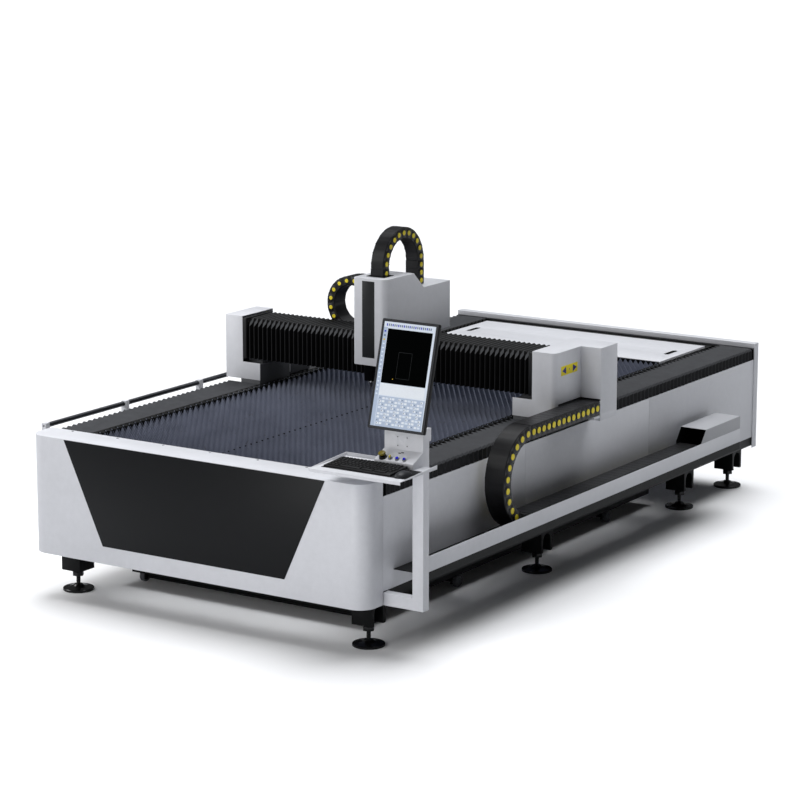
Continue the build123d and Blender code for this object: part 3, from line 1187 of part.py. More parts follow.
# Operator post: a lower tube from the bed, an upright, and an arm behind the monitor
post_right = POST_LEFT + POST_WIDTH
post_rear = POST_FRONT + POST_DEPTH
tilt = radians(MONITOR_TILT)
monitor_plane = Plane(
    origin=(MONITOR_X, MONITOR_Y, MONITOR_Z), x_dir=(1, 0, 0), z_dir=(0, -cos(tilt), sin(tilt))
)
hinge_depth = MONITOR_DEPTH + HINGE_REACH
hinge_y = MONITOR_Y + hinge_depth * cos(tilt)
hinge_z = MONITOR_Z - hinge_depth * sin(tilt)
arm_left = MONITOR_X - ARM_WIDTH / 2
arm_rear = post_rear + ARM_THICKNESS
stub_low = POST_TOP - ARM_STUB_HEIGHT
pin_half = ARM_WIDTH / 2 + EAR_THICKNESS
with BuildPart() as operator_post:
    block((SIDE_OUTER, POST_FRONT, POST_BOTTOM), (post_right, post_rear, POST_BOTTOM + POST_WIDTH))
    block((POST_LEFT, POST_FRONT, POST_BOTTOM), (post_right, post_rear, POST_TOP))
    block((arm_left, post_rear, stub_low), (post_right, arm_rear, POST_TOP))
    block((arm_left, post_rear, stub_low), (arm_left + ARM_WIDTH, arm_rear, hinge_z))
    with BuildSketch(Plane.YZ.offset(arm_left)):
        with Locations((hinge_y, hinge_z)):
            Circle(KNUCKLE_RADIUS)
    extrude(amount=ARM_WIDTH)
    with BuildSketch(Plane.YZ.offset(MONITOR_X - pin_half)):
        with Locations((hinge_y, hinge_z)):
            Circle(HINGE_PIN_RADIUS)
    extrude(amount=2 * pin_half)
write(operator_post.part, "operator_post")

# Monitor: a housing hung on the arm's pin by two ears, and the screen set in its front
with BuildPart() as monitor_housing:
    with BuildSketch(monitor_plane):
        RectangleRounded(MONITOR_WIDTH, MONITOR_HEIGHT, MONITOR_ROUND)
    extrude(amount=-MONITOR_DEPTH)
    with BuildSketch(monitor_plane):
        Rectangle(MONITOR_WIDTH - 2 * MONITOR_BEZEL, MONITOR_HEIGHT - 2 * MONITOR_BEZEL)
    extrude(amount=-(SCREEN_DEPTH + SCREEN_RECESS), mode=Mode.SUBTRACT)
    for side in (-1, 1):
        ear_inner = MONITOR_X + side * (ARM_WIDTH / 2 + RUN_CLEAR)
        ear_root = (ear_inner, hinge_y, hinge_z)
        ear_plane = Plane(origin=ear_root, x_dir=(0, cos(tilt), -sin(tilt)), z_dir=(1, 0, 0))
        with BuildSketch(ear_plane):
            Circle(KNUCKLE_RADIUS)
            with Locations((-HINGE_REACH / 2, 0)):
                Rectangle(HINGE_REACH, 2 * KNUCKLE_RADIUS)
            Circle(HINGE_PIN_RADIUS + PIN_CLEAR, mode=Mode.SUBTRACT)
        extrude(amount=side * EAR_THICKNESS)
write(monitor_housing.part, "monitor_housing")

with BuildPart() as monitor_screen:
    with BuildSketch(monitor_plane.offset(-SCREEN_RECESS)):
        Rectangle(MONITOR_WIDTH - 2 * MONITOR_BEZEL, MONITOR_HEIGHT - 2 * MONITOR_BEZEL)
    extrude(amount=-SCREEN_DEPTH)
write(monitor_screen.part, "monitor_screen")

# Console tray: a sheet with side rims that taper to the front, a rear rim and a turned-down front lip
with BuildPart() as console_tray:
    block((TRAY_LEFT, TRAY_FRONT, TRAY_FLOOR - SHEET), (TRAY_RIGHT, POST_FRONT, TRAY_FLOOR))
    for rim_left in (TRAY_LEFT, TRAY_RIGHT - SHEET):
        with BuildSketch(Plane.YZ.offset(rim_left)):
            with BuildLine():
                Polyline(
                    (TRAY_FRONT, TRAY_FLOOR - SHEET),
                    (TRAY_FRONT, TRAY_FLOOR),
                    (POST_FRONT, TRAY_FLOOR + TRAY_RIM),
                    (POST_FRONT, TRAY_FLOOR - SHEET),
                    close=True,
                )
            make_face()
        extrude(amount=SHEET)
    block((TRAY_LEFT, POST_FRONT - SHEET, TRAY_FLOOR), (CONSOLE_LEFT, POST_FRONT, TRAY_FLOOR + TRAY_RIM))
    block(
        (TRAY_LEFT, TRAY_FRONT, TRAY_FLOOR - SHEET - TRAY_LIP_DROP),
        (TRAY_RIGHT, TRAY_FRONT + SHEET, TRAY_FLOOR - SHEET),
    )
write(console_tray.part, "console_tray")

# Keyboard and mouse, lying on the tray
with BuildPart() as keyboard:
    with BuildSketch(Plane.YZ.offset(KEYBOARD_LEFT)):
        with BuildLine():
            Polyline(
                (KEYBOARD_FRONT, TRAY_FLOOR),
                (KEYBOARD_FRONT, TRAY_FLOOR + KEYBOARD_FRONT_HEIGHT),
                (KEYBOARD_FRONT + KEYBOARD_DEPTH, TRAY_FLOOR + KEYBOARD_REAR_HEIGHT),
                (KEYBOARD_FRONT + KEYBOARD_DEPTH, TRAY_FLOOR),
                close=True,
            )
        make_face()
    extrude(amount=KEYBOARD_WIDTH)
    fillet(keyboard.edges().filter_by(Axis.Z), KEYBOARD_ROUND)
write(keyboard.part, "keyboard")

with BuildPart() as mouse:
    with BuildSketch(Plane.XY.offset(TRAY_FLOOR)):
        with Locations((MOUSE_X, MOUSE_Y)):
            SlotOverall(MOUSE_LENGTH, MOUSE_WIDTH, rotation=90)
    extrude(amount=MOUSE_HEIGHT)
    fillet(mouse.faces().sort_by(Axis.Z)[-1].edges(), MOUSE_ROUND)
write(mouse.part, "mouse")

# Console: a sloping switch box on the tray and the plate that rises behind it, with a bolt pattern
console_top = POST_TOP
slope_low = TRAY_FLOOR + CONSOLE_FRONT_HEIGHT
slope_high = TRAY_FLOOR + CONSOLE_REAR_HEIGHT
plate_front = POST_FRONT - SHEET
with BuildPart() as control_panel:
    with BuildSketch(Plane.YZ.offset(CONSOLE_LEFT)):
        with BuildLine():
            Polyline(
                (CONSOLE_FRONT, TRAY_FLOOR),
                (CONSOLE_FRONT, slope_low),
                (plate_front, slope_high),
                (plate_front, console_top),
                (POST_FRONT, console_top),
                (POST_FRONT, TRAY_FLOOR),
                close=True,
            )
        make_face()
    extrude(amount=post_right - CONSOLE_LEFT)
    with BuildSketch(section_y(plate_front)):
        with Locations((PLATE_HOLE_X, PLATE_HOLE_Z)):
            with GridLocations(PLATE_HOLE_SPACING_X, PLATE_HOLE_SPACING_Z, 2, 2):
                Circle(PLATE_HOLE_RADIUS)
    extrude(amount=-SHEET, mode=Mode.SUBTRACT)
write(control_panel.part, "control_panel")

# Switches stand square on the sloping face
slope_tilt = atan2(slope_high - slope_low, plate_front - CONSOLE_FRONT)
slope_plane = Plane(
    origin=(0, (CONSOLE_FRONT + plate_front) / 2, (slope_low + slope_high) / 2),
    x_dir=(1, 0, 0),
    z_dir=(0, -sin(slope_tilt), cos(slope_tilt)),
)
collar_places = [(KEY_X, SWITCH_ROW), *[(x, SWITCH_ROW) for x in PUSH_XS]]
with BuildPart() as switch_collars:
    with BuildSketch(slope_plane):
        with Locations((ESTOP_X, SWITCH_ROW)):
            Circle(ESTOP_BASE_RADIUS)
            Circle(ESTOP_STEM_RADIUS + PIN_CLEAR, mode=Mode.SUBTRACT)
    extrude(amount=ESTOP_BASE_HEIGHT)
    with BuildSketch(slope_plane):
        with Locations(*collar_places):
            Circle(COLLAR_RADIUS)
            Circle(COLLAR_BORE + PIN_CLEAR, mode=Mode.SUBTRACT)
    extrude(amount=COLLAR_HEIGHT)
write(switch_collars.part, "switch_collars")

cap_level = ESTOP_BASE_HEIGHT + ESTOP_TRAVEL_GAP
with BuildPart() as estop_button:
    with BuildSketch(slope_plane.offset(ESTOP_TRAVEL_GAP)):
        with Locations((ESTOP_X, SWITCH_ROW)):
            Circle(ESTOP_STEM_RADIUS)
    extrude(amount=ESTOP_BASE_HEIGHT)
    with BuildSketch(slope_plane.offset(cap_level)):
        with Locations((ESTOP_X, SWITCH_ROW)):
            Circle(ESTOP_CAP_RADIUS)
    extrude(amount=ESTOP_CAP_HEIGHT)
write(estop_button.part, "estop_button")

with BuildPart() as key_switch:
    with BuildSketch(slope_plane):
        with Locations((KEY_X, SWITCH_ROW)):
            Circle(COLLAR_BORE)
    extrude(amount=COLLAR_HEIGHT)
    with BuildSketch(slope_plane.offset(COLLAR_HEIGHT)):
        with Locations((KEY_X, SWITCH_ROW)):
            Rectangle(KEY_BLADE, 2 * COLLAR_BORE)
    extrude(amount=KEY_HEIGHT - COLLAR_HEIGHT)
write(key_switch.part, "key_switch")

for push_x, name in zip(PUSH_XS, ("push_button_left", "push_button_right")):
    with BuildPart() as push_button:
        with BuildSketch(slope_plane.offset(PUSH_FLOOR_GAP)):
            with Locations((push_x, SWITCH_ROW)):
                Circle(COLLAR_BORE)
        extrude(amount=PUSH_HEIGHT)
    write(push_button.part, name)

# Slag trolley: a shallow folded tray with axle hangers below and a pull lip in front
wheel_ys = [WHEEL_FIRST_Y + WHEEL_PITCH * i for i in range(WHEEL_SETS)]
slag_top = SLAG_BOTTOM + SLAG_RIM
hanger_x = WHEEL_X - WHEEL_WIDTH / 2 - HANGER_GAP - HANGER_THICKNESS / 2
with BuildPart() as slag_tray:
    block((-SLAG_HALF_WIDTH, SLAG_FRONT, SLAG_BOTTOM), (SLAG_HALF_WIDTH, SLAG_REAR, slag_top))
    block(
        (-SLAG_HALF_WIDTH + SHEET, SLAG_FRONT + SHEET, SLAG_BOTTOM + SHEET),
        (SLAG_HALF_WIDTH - SHEET, SLAG_REAR - SHEET, slag_top + OVERRUN),
        mode=Mode.SUBTRACT,
    )
    lip_front = SLAG_FRONT - SLAG_PULL
    block((-SLAG_HALF_WIDTH, lip_front, slag_top - SHEET), (SLAG_HALF_WIDTH, SLAG_FRONT, slag_top))
    hanger_bottom = WHEEL_RADIUS - AXLE_RADIUS - HANGER_GAP
    for side in (-1, 1):
        for y in wheel_ys:
            x = side * hanger_x
            block(
                (x - HANGER_THICKNESS / 2, y - HANGER_HALF, hanger_bottom),
                (x + HANGER_THICKNESS / 2, y + HANGER_HALF, SLAG_BOTTOM),
            )
    with BuildSketch(Plane.YZ.offset(-WHEEL_X)):
        with Locations(*[(y, WHEEL_RADIUS) for y in wheel_ys]):
            Circle(AXLE_RADIUS + PIN_CLEAR)
    extrude(amount=2 * WHEEL_X, mode=Mode.SUBTRACT)
write(slag_tray.part, "slag_tray")

# Wheel sets: two wheels on one axle
with BuildPart() as wheelset:
    with BuildSketch(Plane.YZ.offset(-WHEEL_X)):
        Circle(AXLE_RADIUS)
    extrude(amount=2 * WHEEL_X)
    for side in (-1, 1):
        with BuildSketch(Plane.YZ.offset(side * WHEEL_X)):
            Circle(WHEEL_RADIUS)
        extrude(amount=WHEEL_WIDTH / 2, both=True)
for i, y in enumerate(wheel_ys):
    write(wheelset.part.moved(Location((0, y, WHEEL_RADIUS))), f"wheelset_{i + 1}")
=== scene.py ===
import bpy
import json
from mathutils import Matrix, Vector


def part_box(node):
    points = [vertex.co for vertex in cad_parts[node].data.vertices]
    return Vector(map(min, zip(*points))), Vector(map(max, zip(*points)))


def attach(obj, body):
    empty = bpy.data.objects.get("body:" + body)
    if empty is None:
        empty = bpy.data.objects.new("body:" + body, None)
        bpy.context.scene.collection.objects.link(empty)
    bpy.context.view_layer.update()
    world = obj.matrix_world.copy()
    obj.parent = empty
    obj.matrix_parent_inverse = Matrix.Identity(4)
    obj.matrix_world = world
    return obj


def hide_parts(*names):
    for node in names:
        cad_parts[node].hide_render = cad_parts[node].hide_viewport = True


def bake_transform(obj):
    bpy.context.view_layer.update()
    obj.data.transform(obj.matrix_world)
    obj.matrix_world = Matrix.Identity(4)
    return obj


bl_info = {
    "name": "Flatbed laser cutter",
    "version": (1, 0, 0),
    "blender": (4, 5, 0),
    "location": "3D View > Sidebar > Laser cutter",
    "description": "Dresses the packed flatbed laser cutter with its covers, folds, chains and controls",
    "category": "Object",
}

import json
import math

import bmesh
import bpy
from bpy.props import FloatProperty, FloatVectorProperty, IntProperty, PointerProperty
from mathutils import Euler, Matrix, Vector

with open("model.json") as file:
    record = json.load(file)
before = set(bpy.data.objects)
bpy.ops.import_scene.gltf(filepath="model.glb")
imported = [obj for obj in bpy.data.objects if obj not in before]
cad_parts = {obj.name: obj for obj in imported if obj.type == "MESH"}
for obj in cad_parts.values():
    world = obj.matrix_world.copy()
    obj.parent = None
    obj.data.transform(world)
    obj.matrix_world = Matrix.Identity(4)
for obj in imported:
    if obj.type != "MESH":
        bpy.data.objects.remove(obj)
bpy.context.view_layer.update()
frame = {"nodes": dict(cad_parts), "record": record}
NODES = frame["nodes"]
BODY_OF = {node: body for body, nodes in frame["record"]["behaviour"]["bodies"].items() for node in nodes}
BED_LOW, BED_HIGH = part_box("bed_frame")
BED_MIDDLE = (BED_LOW[0] + BED_HIGH[0]) / 2
# Places along the bed count from this line, 2.28 m before the frame's rear end.
BED_DATUM = BED_HIGH[1] - 2.280


def mm(value):
    """A length in millimetres as metres."""
    return value / 1000


def at(x, y, z):
    """A point given in millimetres about the bed's centre plane, in the shared frame."""
    return Vector((BED_MIDDLE + mm(x), BED_DATUM + mm(y), mm(z)))


def spans(node):
    """The three lengths of a node's box in millimetres."""
    low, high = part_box(node)
    return [(b - a) * 1000 for a, b in zip(low, high)]


def middle_of(node):
    """The middle of a node's box."""
    low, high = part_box(node)
    return (low + high) / 2


def per_mm(size):
    """A texture scale that gives features of about this size in millimetres."""
    return 1000 / size


def linear(code):
    """An sRGB hex colour as linear red, green, blue."""
    values = [int(code[i : i + 2], 16) / 255 for i in (1, 3, 5)]
    return tuple(v / 12.92 if v <= 0.04045 else ((v + 0.055) / 1.055) ** 2.4 for v in values)


class LASER_PG_finishes(bpy.types.PropertyGroup):
    """Colours that a user would change"""

    cover: FloatVectorProperty(
        name="Covers", description="Light grey coat", subtype="COLOR", default=linear("#CDCED3"), size=3
    )
    panel: FloatVectorProperty(
        name="Front panel", description="Black coat", subtype="COLOR", default=linear("#101113"), size=3
    )
    dots: FloatVectorProperty(
        name="Chain dots", description="Chains' pin caps", subtype="COLOR", default=linear("#E6D22C"), size=3
    )
    stop: FloatVectorProperty(
        name="Stop button", description="Its cap", subtype="COLOR", default=linear("#6F6312"), size=3
    )
    push: FloatVectorProperty(
        name="Push buttons", description="Their caps", subtype="COLOR", default=linear("#1414C8"), size=3
    )


class LASER_PG_sizes(bpy.types.PropertyGroup):
    """Sizes that a user would change"""

    edge: FloatProperty(
        name="Sheet edge", description="Rounding of folded sheet edges", unit="LENGTH", default=mm(1.3)
    )
    tooth: FloatProperty(
        name="Slat tooth", description="Pitch of the slats' teeth", unit="LENGTH", default=mm(32)
    )
    tooth_depth: FloatProperty(
        name="Tooth depth", description="Height of a slat's tooth", unit="LENGTH", default=mm(24)
    )
    slat_pitch: FloatProperty(
        name="Slat pitch", description="Distance from slat to slat", unit="LENGTH", default=mm(46)
    )
    rail_fold: FloatProperty(
        name="Rail folds", description="Pitch of the folds over the rails", unit="LENGTH", default=mm(41)
    )
    beam_fold: FloatProperty(
        name="Beam folds", description="Pitch of the folds over the beam", unit="LENGTH", default=mm(28.9)
    )
    turning: IntProperty(name="Turned facets", description="Facets round a turned piece", default=40, min=12)


def add(tree, kind, inputs=(), **settings):
    """Add a node, with its settings, and its inputs as links or values."""
    node = tree.nodes.new(kind)
    for key, value in settings.items():
        setattr(node, key, value)
    for key, value in dict(inputs).items():
        if isinstance(value, bpy.types.NodeSocket):
            tree.links.new(value, node.inputs[key])
        else:
            node.inputs[key].default_value = value
    return node


def blank(name):
    """The empty tree of a new material, and the object's own coordinates in it."""
    material = bpy.data.materials.new(name)
    material.use_nodes = True
    tree = material.node_tree
    tree.nodes.clear()
    return tree, add(tree, "ShaderNodeTexCoord").outputs["Object"]


def grain(place, size, detail, rough=0.5):
    """Noise inputs: specks of about a size in millimetres."""
    return {"Vector": place, "Scale": per_mm(size), "Detail": detail, "Roughness": rough}


def tones(factor, colour, low, high):
    """Mix inputs: a colour that a factor takes from a darker to a lighter tone."""
    dark = tuple(c * low for c in colour) + (1,)
    light = tuple(min(1, c * high) for c in colour) + (1,)
    return {0: factor, 6: dark, 7: light}


def around(value, level, swing):
    """Range inputs: a value brought to within a swing of a level."""
    return {"Value": value, "To Min": level - swing, "To Max": level + swing}


def close(tree, inputs, height=None, strength=0.0, depth=0.0):
    """End a material with its shader, the relief on it and the output."""
    surface = add(tree, "ShaderNodeBsdfPrincipled", inputs)
    if height is not None:
        bump = add(tree, "ShaderNodeBump", {"Height": height, "Strength": strength, "Distance": depth})
        tree.links.new(bump.outputs["Normal"], surface.inputs["Normal"])
    add(tree, "ShaderNodeOutputMaterial", {"Surface": surface.outputs[0]})


def powder_coat(name, colour, rough, shine=0.5, peel_depth=0.00035):
    """Baked powder coat: satin, with a fine orange peel and a slow drift of tone over large sheets."""
    tree, place = blank(name)
    peel = add(tree, "ShaderNodeTexNoise", grain(place, 7, 2.0)).outputs["Fac"]
    drift = add(tree, "ShaderNodeTexNoise", grain(place, 520, 3.0)).outputs["Fac"]
    grime = add(tree, "ShaderNodeTexNoise", grain(place, 38, 6.0, 0.7)).outputs["Fac"]
    tone = add(tree, "ShaderNodeMix", tones(drift, colour, 0.9, 1.06), data_type="RGBA")
    faint = {**around(grime, 1.0, 0.03), "From Min": 0.35, "From Max": 0.75}
    speck = add(tree, "ShaderNodeMapRange", faint)
    shade = add(tree, "ShaderNodeHueSaturation", {"Value": speck.outputs[0], "Color": tone.outputs[2]})
    gloss = add(tree, "ShaderNodeMapRange", around(grime, rough, 0.07))
    look = {"Base Color": shade.outputs[0], "Roughness": gloss.outputs[0], "Specular IOR Level": shine}
    close(tree, look, peel, 0.35, peel_depth)


def moulded(name, colour, rough, shine=0.25, spark_size=4.0, spark_depth=0.0003):
    """Injection moulded plastic with a spark-eroded grain, slightly shinier where hands and links rub."""
    tree, place = blank(name)
    spark = add(tree, "ShaderNodeTexNoise", grain(place, spark_size, 3.0)).outputs["Fac"]
    rub = add(tree, "ShaderNodeTexNoise", grain(place, 90, 4.0, 0.6)).outputs["Fac"]
    tone = add(tree, "ShaderNodeMix", tones(rub, colour, 0.8, 1.2), data_type="RGBA")
    gloss = add(tree, "ShaderNodeMapRange", around(rub, rough, 0.1))
    look = {"Base Color": tone.outputs[2], "Roughness": gloss.outputs[0], "Specular IOR Level": shine}
    close(tree, look, spark, 0.3, spark_depth)


def coated_cloth(name, colour):
    """Polyurethane coated polyester cloth: a weave under a dull film, with pale scuffs along the folds.
    The weave is really about 0.5 mm and is drawn at 4 mm so that it shows."""
    tree, place = blank(name)
    threads = {"Vector": place, "Scale": per_mm(4) / math.pi}
    warp = add(tree, "ShaderNodeTexWave", threads, bands_direction="X").outputs["Fac"]
    weft = add(tree, "ShaderNodeTexWave", threads, bands_direction="Y").outputs["Fac"]
    weave = add(tree, "ShaderNodeMath", {0: warp, 1: weft}, operation="MULTIPLY")
    scuff = add(tree, "ShaderNodeTexNoise", grain(place, 60, 6.0, 0.65)).outputs["Fac"]
    level = add(tree, "ShaderNodeMapRange", {"Value": scuff, "From Min": 0.35, "From Max": 0.75})
    tone = add(tree, "ShaderNodeMix", tones(level.outputs[0], colour, 0.9, 1.2), data_type="RGBA")
    look = {"Base Color": tone.outputs[2], "Roughness": 0.6, "Specular IOR Level": 0.15}
    close(tree, look, weave.outputs[0], 0.12, 0.0004)


def scorched_plate(name, colour):
    """Laser cut mild steel plate: blue-grey mill scale with brown heat stains."""
    tree, place = blank(name)
    scale = add(tree, "ShaderNodeTexNoise", grain(place, 140, 5.0, 0.6)).outputs["Fac"]
    stain = add(tree, "ShaderNodeTexNoise", grain(place, 26, 4.0)).outputs["Fac"]
    burn = add(tree, "ShaderNodeMapRange", {"Value": stain, "From Min": 0.62, "From Max": 0.95})
    base = add(tree, "ShaderNodeMix", tones(scale, colour, 0.72, 1.25), data_type="RGBA")
    stained = {0: burn.outputs[0], 6: base.outputs[2], 7: linear("#5C564F") + (1,)}
    tone = add(tree, "ShaderNodeMix", stained, data_type="RGBA")
    gloss = add(tree, "ShaderNodeMapRange", around(scale, 0.49, 0.11))
    look = {"Base Color": tone.outputs[2], "Metallic": 0.55, "Roughness": gloss.outputs[0]}
    close(tree, look, stain, 0.25, 0.0006)


def ground_metal(name, colour, rough, stretch):
    """Ground or drawn metal: fine lines along one axis, really under 0.1 mm and drawn coarser."""
    tree, place = blank(name)
    run = add(tree, "ShaderNodeMapping", {"Vector": place, "Scale": stretch}).outputs[0]
    lines = add(tree, "ShaderNodeTexNoise", grain(run, 6, 4.0)).outputs["Fac"]
    tone = add(tree, "ShaderNodeMix", tones(lines, colour, 0.86, 1.1), data_type="RGBA")
    gloss = add(tree, "ShaderNodeMapRange", around(lines, rough, 0.08))
    look = {"Base Color": tone.outputs[2], "Metallic": 1.0, "Roughness": gloss.outputs[0]}
    close(tree, look, lines, 0.1, 0.0002)


def lit_screen(name, colour, glow, shine=0.08):
    """A lit patch of a display behind a matt film: its colour with a faint pixel grain."""
    tree, place = blank(name)
    pixels = add(tree, "ShaderNodeTexNoise", grain(place, 5, 1.0)).outputs["Fac"]
    tone = add(tree, "ShaderNodeMix", tones(pixels, colour, 0.93, 1.05), data_type="RGBA")
    look = {"Base Color": tone.outputs[2], "Roughness": 0.5, "Specular IOR Level": shine}
    close(tree, {**look, "Emission Color": tone.outputs[2], "Emission Strength": glow})


def pale_floor(name):
    """A matt studio sweep: white to the eye, with less light thrown back up so that the sides stay dark."""
    tree, place = blank(name)
    cloud = add(tree, "ShaderNodeTexNoise", grain(place, 2600, 2.0)).outputs["Fac"]
    white = {0: cloud, 6: linear("#EDEDEE") + (1,), 7: linear("#F3F3F4") + (1,)}
    seen = add(tree, "ShaderNodeMix", white, data_type="RGBA")
    direct = add(tree, "ShaderNodeLightPath").outputs["Is Camera Ray"]
    either = {0: direct, 6: linear("#C3C4C6") + (1,), 7: seen.outputs[2]}
    tone = add(tree, "ShaderNodeMix", either, data_type="RGBA")
    close(tree, {"Base Color": tone.outputs[2], "Roughness": 0.9, "Specular IOR Level": 0.1})


class LASER_OT_finishes(bpy.types.Operator):
    """Make every finish of the machine"""

    bl_idname = "laser.finishes"
    bl_label = "Finishes"

    def execute(self, context):
        chosen = context.scene.laser_finishes
        powder_coat("light_grey_powder_coat", tuple(chosen.cover), 0.42)
        powder_coat("black_powder_coat", tuple(chosen.panel), 0.4, 0.16)
        powder_coat("frame_black_enamel", linear("#0B0C0D"), 0.45, 0.15)
        powder_coat("strip_black_enamel", linear("#1F2022"), 0.4, 0.2)
        powder_coat("saddle_grey_enamel", linear("#5A5B5E"), 0.45, 0.2)
        # Painted shade: a darker copy of the light grey coat, for the trough's rear box, which is a light
        # grey cover like the others.
        powder_coat("mid_grey_powder_coat", linear("#A6A7AB"), 0.45, 0.3)
        powder_coat("gloss_black_enamel", linear("#0B0B0C"), 0.22, 0.4, 0.0002)
        powder_coat("marker_yellow_film", linear("#E6D424"), 0.4, 0.3, 0.0001)
        powder_coat("marker_blue_film", linear("#1B2078"), 0.4, 0.3, 0.0001)
        coated_cloth("rail_cover_cloth", linear("#37383B"))
        coated_cloth("rail_skirt_cloth", linear("#1E1F21"))
        # The beam's black cloth, also used as painted shade in the rail folds' notches.
        coated_cloth("beam_cover_cloth", linear("#0A0A0B"))
        # Lighter copies of the black cloth: painted light on the beam folds' ridges, the lighter on the top
        # and shoulder, the other on the front.
        coated_cloth("welded_fold_cloth", linear("#3A3B3D"))
        coated_cloth("ridge_fold_cloth", linear("#1B1B1D"))
        moulded("chain_nylon", linear("#101012"), 0.36, 0.32)
        moulded("chain_cap_plastic", tuple(chosen.dots), 0.4, 0.3)
        moulded("black_abs", linear("#141416"), 0.45)
        moulded("grey_abs", linear("#2B2C2F"), 0.4)
        moulded("key_cap_abs", linear("#0F0F11"), 0.5)
        moulded("stop_cap_plastic", tuple(chosen.stop), 0.32, 0.4)
        moulded("push_cap_plastic", tuple(chosen.push), 0.25, 0.4)
        moulded("tray_mat_rubber", linear("#131416"), 0.7, 0.15, 3.0, 0.0006)
        moulded("caster_grey_rubber", linear("#55565A"), 0.6)
        scorched_plate("cut_slat_steel", linear("#7E8394"))
        ground_metal("ground_rail_steel", linear("#A9ABAF"), 0.3, (1.0, 0.02, 1.0))
        ground_metal("turned_roller_steel", linear("#55565A"), 0.34, (1.0, 0.05, 1.0))
        ground_metal("anodised_aluminium", linear("#B4B6BA"), 0.38, (0.03, 1.0, 1.0))
        ground_metal("black_anodised_aluminium", linear("#1B1C1E"), 0.4, (1.0, 1.0, 0.05))
        ground_metal("zinc_plated_steel", linear("#9B9DA1"), 0.3, (1.0, 1.0, 1.0))
        lit_screen("display_pale", linear("#D0D8E3"), 0.12)
        lit_screen("display_blue", linear("#A9B6CA"), 0.12)
        lit_screen("display_white", linear("#D8DDE3"), 0.14)
        lit_screen("display_black", linear("#040505"), 0.0, 0.0)
        lit_screen("display_faint", linear("#2A2B2C"), 0.0, 0.0)
        lit_screen("display_ink", linear("#5F6E86"), 0.05)
        lit_screen("display_mark", linear("#1C22B4"), 0.05)
        lit_screen("display_spark", linear("#D2B13A"), 0.1)
        pale_floor("studio_floor_paint")
        return {"FINISHED"}


def piece(name, source, finishes, body=None, stands_for=(), sharp=32):
    """One finished object from a bmesh or a mesh, with its place in its mesh, riding on a body."""
    mesh = source
    if isinstance(source, bmesh.types.BMesh):
        mesh = bpy.data.meshes.new(name)
        source.to_mesh(mesh)
        source.free()
    mesh.name = name
    for finish in finishes:
        mesh.materials.append(bpy.data.materials[finish])
    mesh.shade_smooth()
    mesh.set_sharp_from_angle(angle=math.radians(sharp))
    obj = bpy.data.objects.new(name, mesh)
    bpy.context.scene.collection.objects.link(obj)
    if body:
        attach(obj, body)
    if stands_for:
        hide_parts(*stands_for)
    return obj


def soften(bm, edges, width, index=0, steps=2):
    """Round edges over a width in metres, or leave them sharp at none."""
    if width:
        bmesh.ops.bevel(bm, geom=edges, offset=width, offset_type="OFFSET", segments=steps, profile=0.5,
                        affect="EDGES", clamp_overlap=True, material=index)


def dressed(node, finish, edge=None):
    """A copy of a CAD node with its triangles merged into faces and its sharp edges softened."""
    bm = bmesh.new()
    bm.from_mesh(NODES[node].data)
    bmesh.ops.remove_doubles(bm, verts=bm.verts, dist=1e-5)
    bmesh.ops.dissolve_limit(bm, angle_limit=math.radians(1), verts=bm.verts, edges=bm.edges)
    corners = [e for e in bm.edges if len(e.link_faces) == 2 and e.calc_face_angle(0) > math.radians(40)]
    soften(bm, corners, bpy.context.scene.laser_sizes.edge if edge is None else mm(edge))
    for face in bm.faces:
        face.material_index = 0
    return piece(f"{node}_finished", bm, [finish], BODY_OF[node], (node,))


def darken(obj, test):
    """Give the black frame enamel to each face whose middle and normal pass a test."""
    obj.data.materials.append(bpy.data.materials["frame_black_enamel"])
    for face in obj.data.polygons:
        if test(face.center, face.normal):
            face.material_index = 1


def slab(bm, low, high, index=0, round_mm=0.0, steps=2):
    """A block between two points of the shared frame, with rounded edges."""
    low, high = Vector(low), Vector(high)
    corners = bmesh.ops.create_cube(bm, size=1)["verts"]
    for v in corners:
        v.co = Vector([(a + b) / 2 + c * (b - a) for a, b, c in zip(low, high, v.co)])
    for v in corners:
        for face in v.link_faces:
            face.material_index = index
    edges = dict.fromkeys(e for v in corners for e in v.link_edges)
    soften(bm, list(edges), mm(round_mm), index, steps)


def turned(bm, profile, place, index=0, facets=None):
    """Turn a profile of (radius, height) in millimetres about its own Z axis, then set it in place."""
    count = facets or bpy.context.scene.laser_sizes.turning
    circle = [(math.cos(2 * math.pi * i / count), math.sin(2 * math.pi * i / count)) for i in range(count)]
    rings = []
    for radius, height in profile:
        points = [Vector((mm(radius) * x, mm(radius) * y, mm(height))) for x, y in circle]
        rings.append([bm.verts.new(place @ point) for point in (points if radius else points[:1])])
    faces = []
    for first, second in zip(rings, rings[1:]):
        for i in range(count):
            j = (i + 1) % count
            around_face = ((first, i), (first, j), (second, j), (second, i))
            corners = list(dict.fromkeys(ring[k % len(ring)] for ring, k in around_face))
            if len(corners) > 2:
                faces.append(bm.faces.new(corners))
    for face in faces:
        face.material_index = index
    bmesh.ops.recalc_face_normals(bm, faces=faces)


def mirrored(half, length):
    """A turned profile from its first half, the same from both ends of its length."""
    return half + [(radius, length - height) for radius, height in reversed(half)]


def prism(bm, outline, place, depth, index=0, round_mm=0.0):
    """Push a flat outline, in millimetres, through a depth along its own Z axis, then set it in place."""
    near = [bm.verts.new(place @ Vector((mm(u), mm(v), 0))) for u, v in outline]
    far = [bm.verts.new(place @ Vector((mm(u), mm(v), mm(depth)))) for u, v in outline]
    faces = [bm.faces.new(near[::-1]), bm.faces.new(far)]
    for i in range(len(outline)):
        j = (i + 1) % len(outline)
        faces.append(bm.faces.new((near[i], near[j], far[j], far[i])))
    for face in faces:
        face.material_index = index
    bmesh.ops.recalc_face_normals(bm, faces=faces)
    soften(bm, list(faces[0].edges) + list(faces[1].edges), mm(round_mm), index)


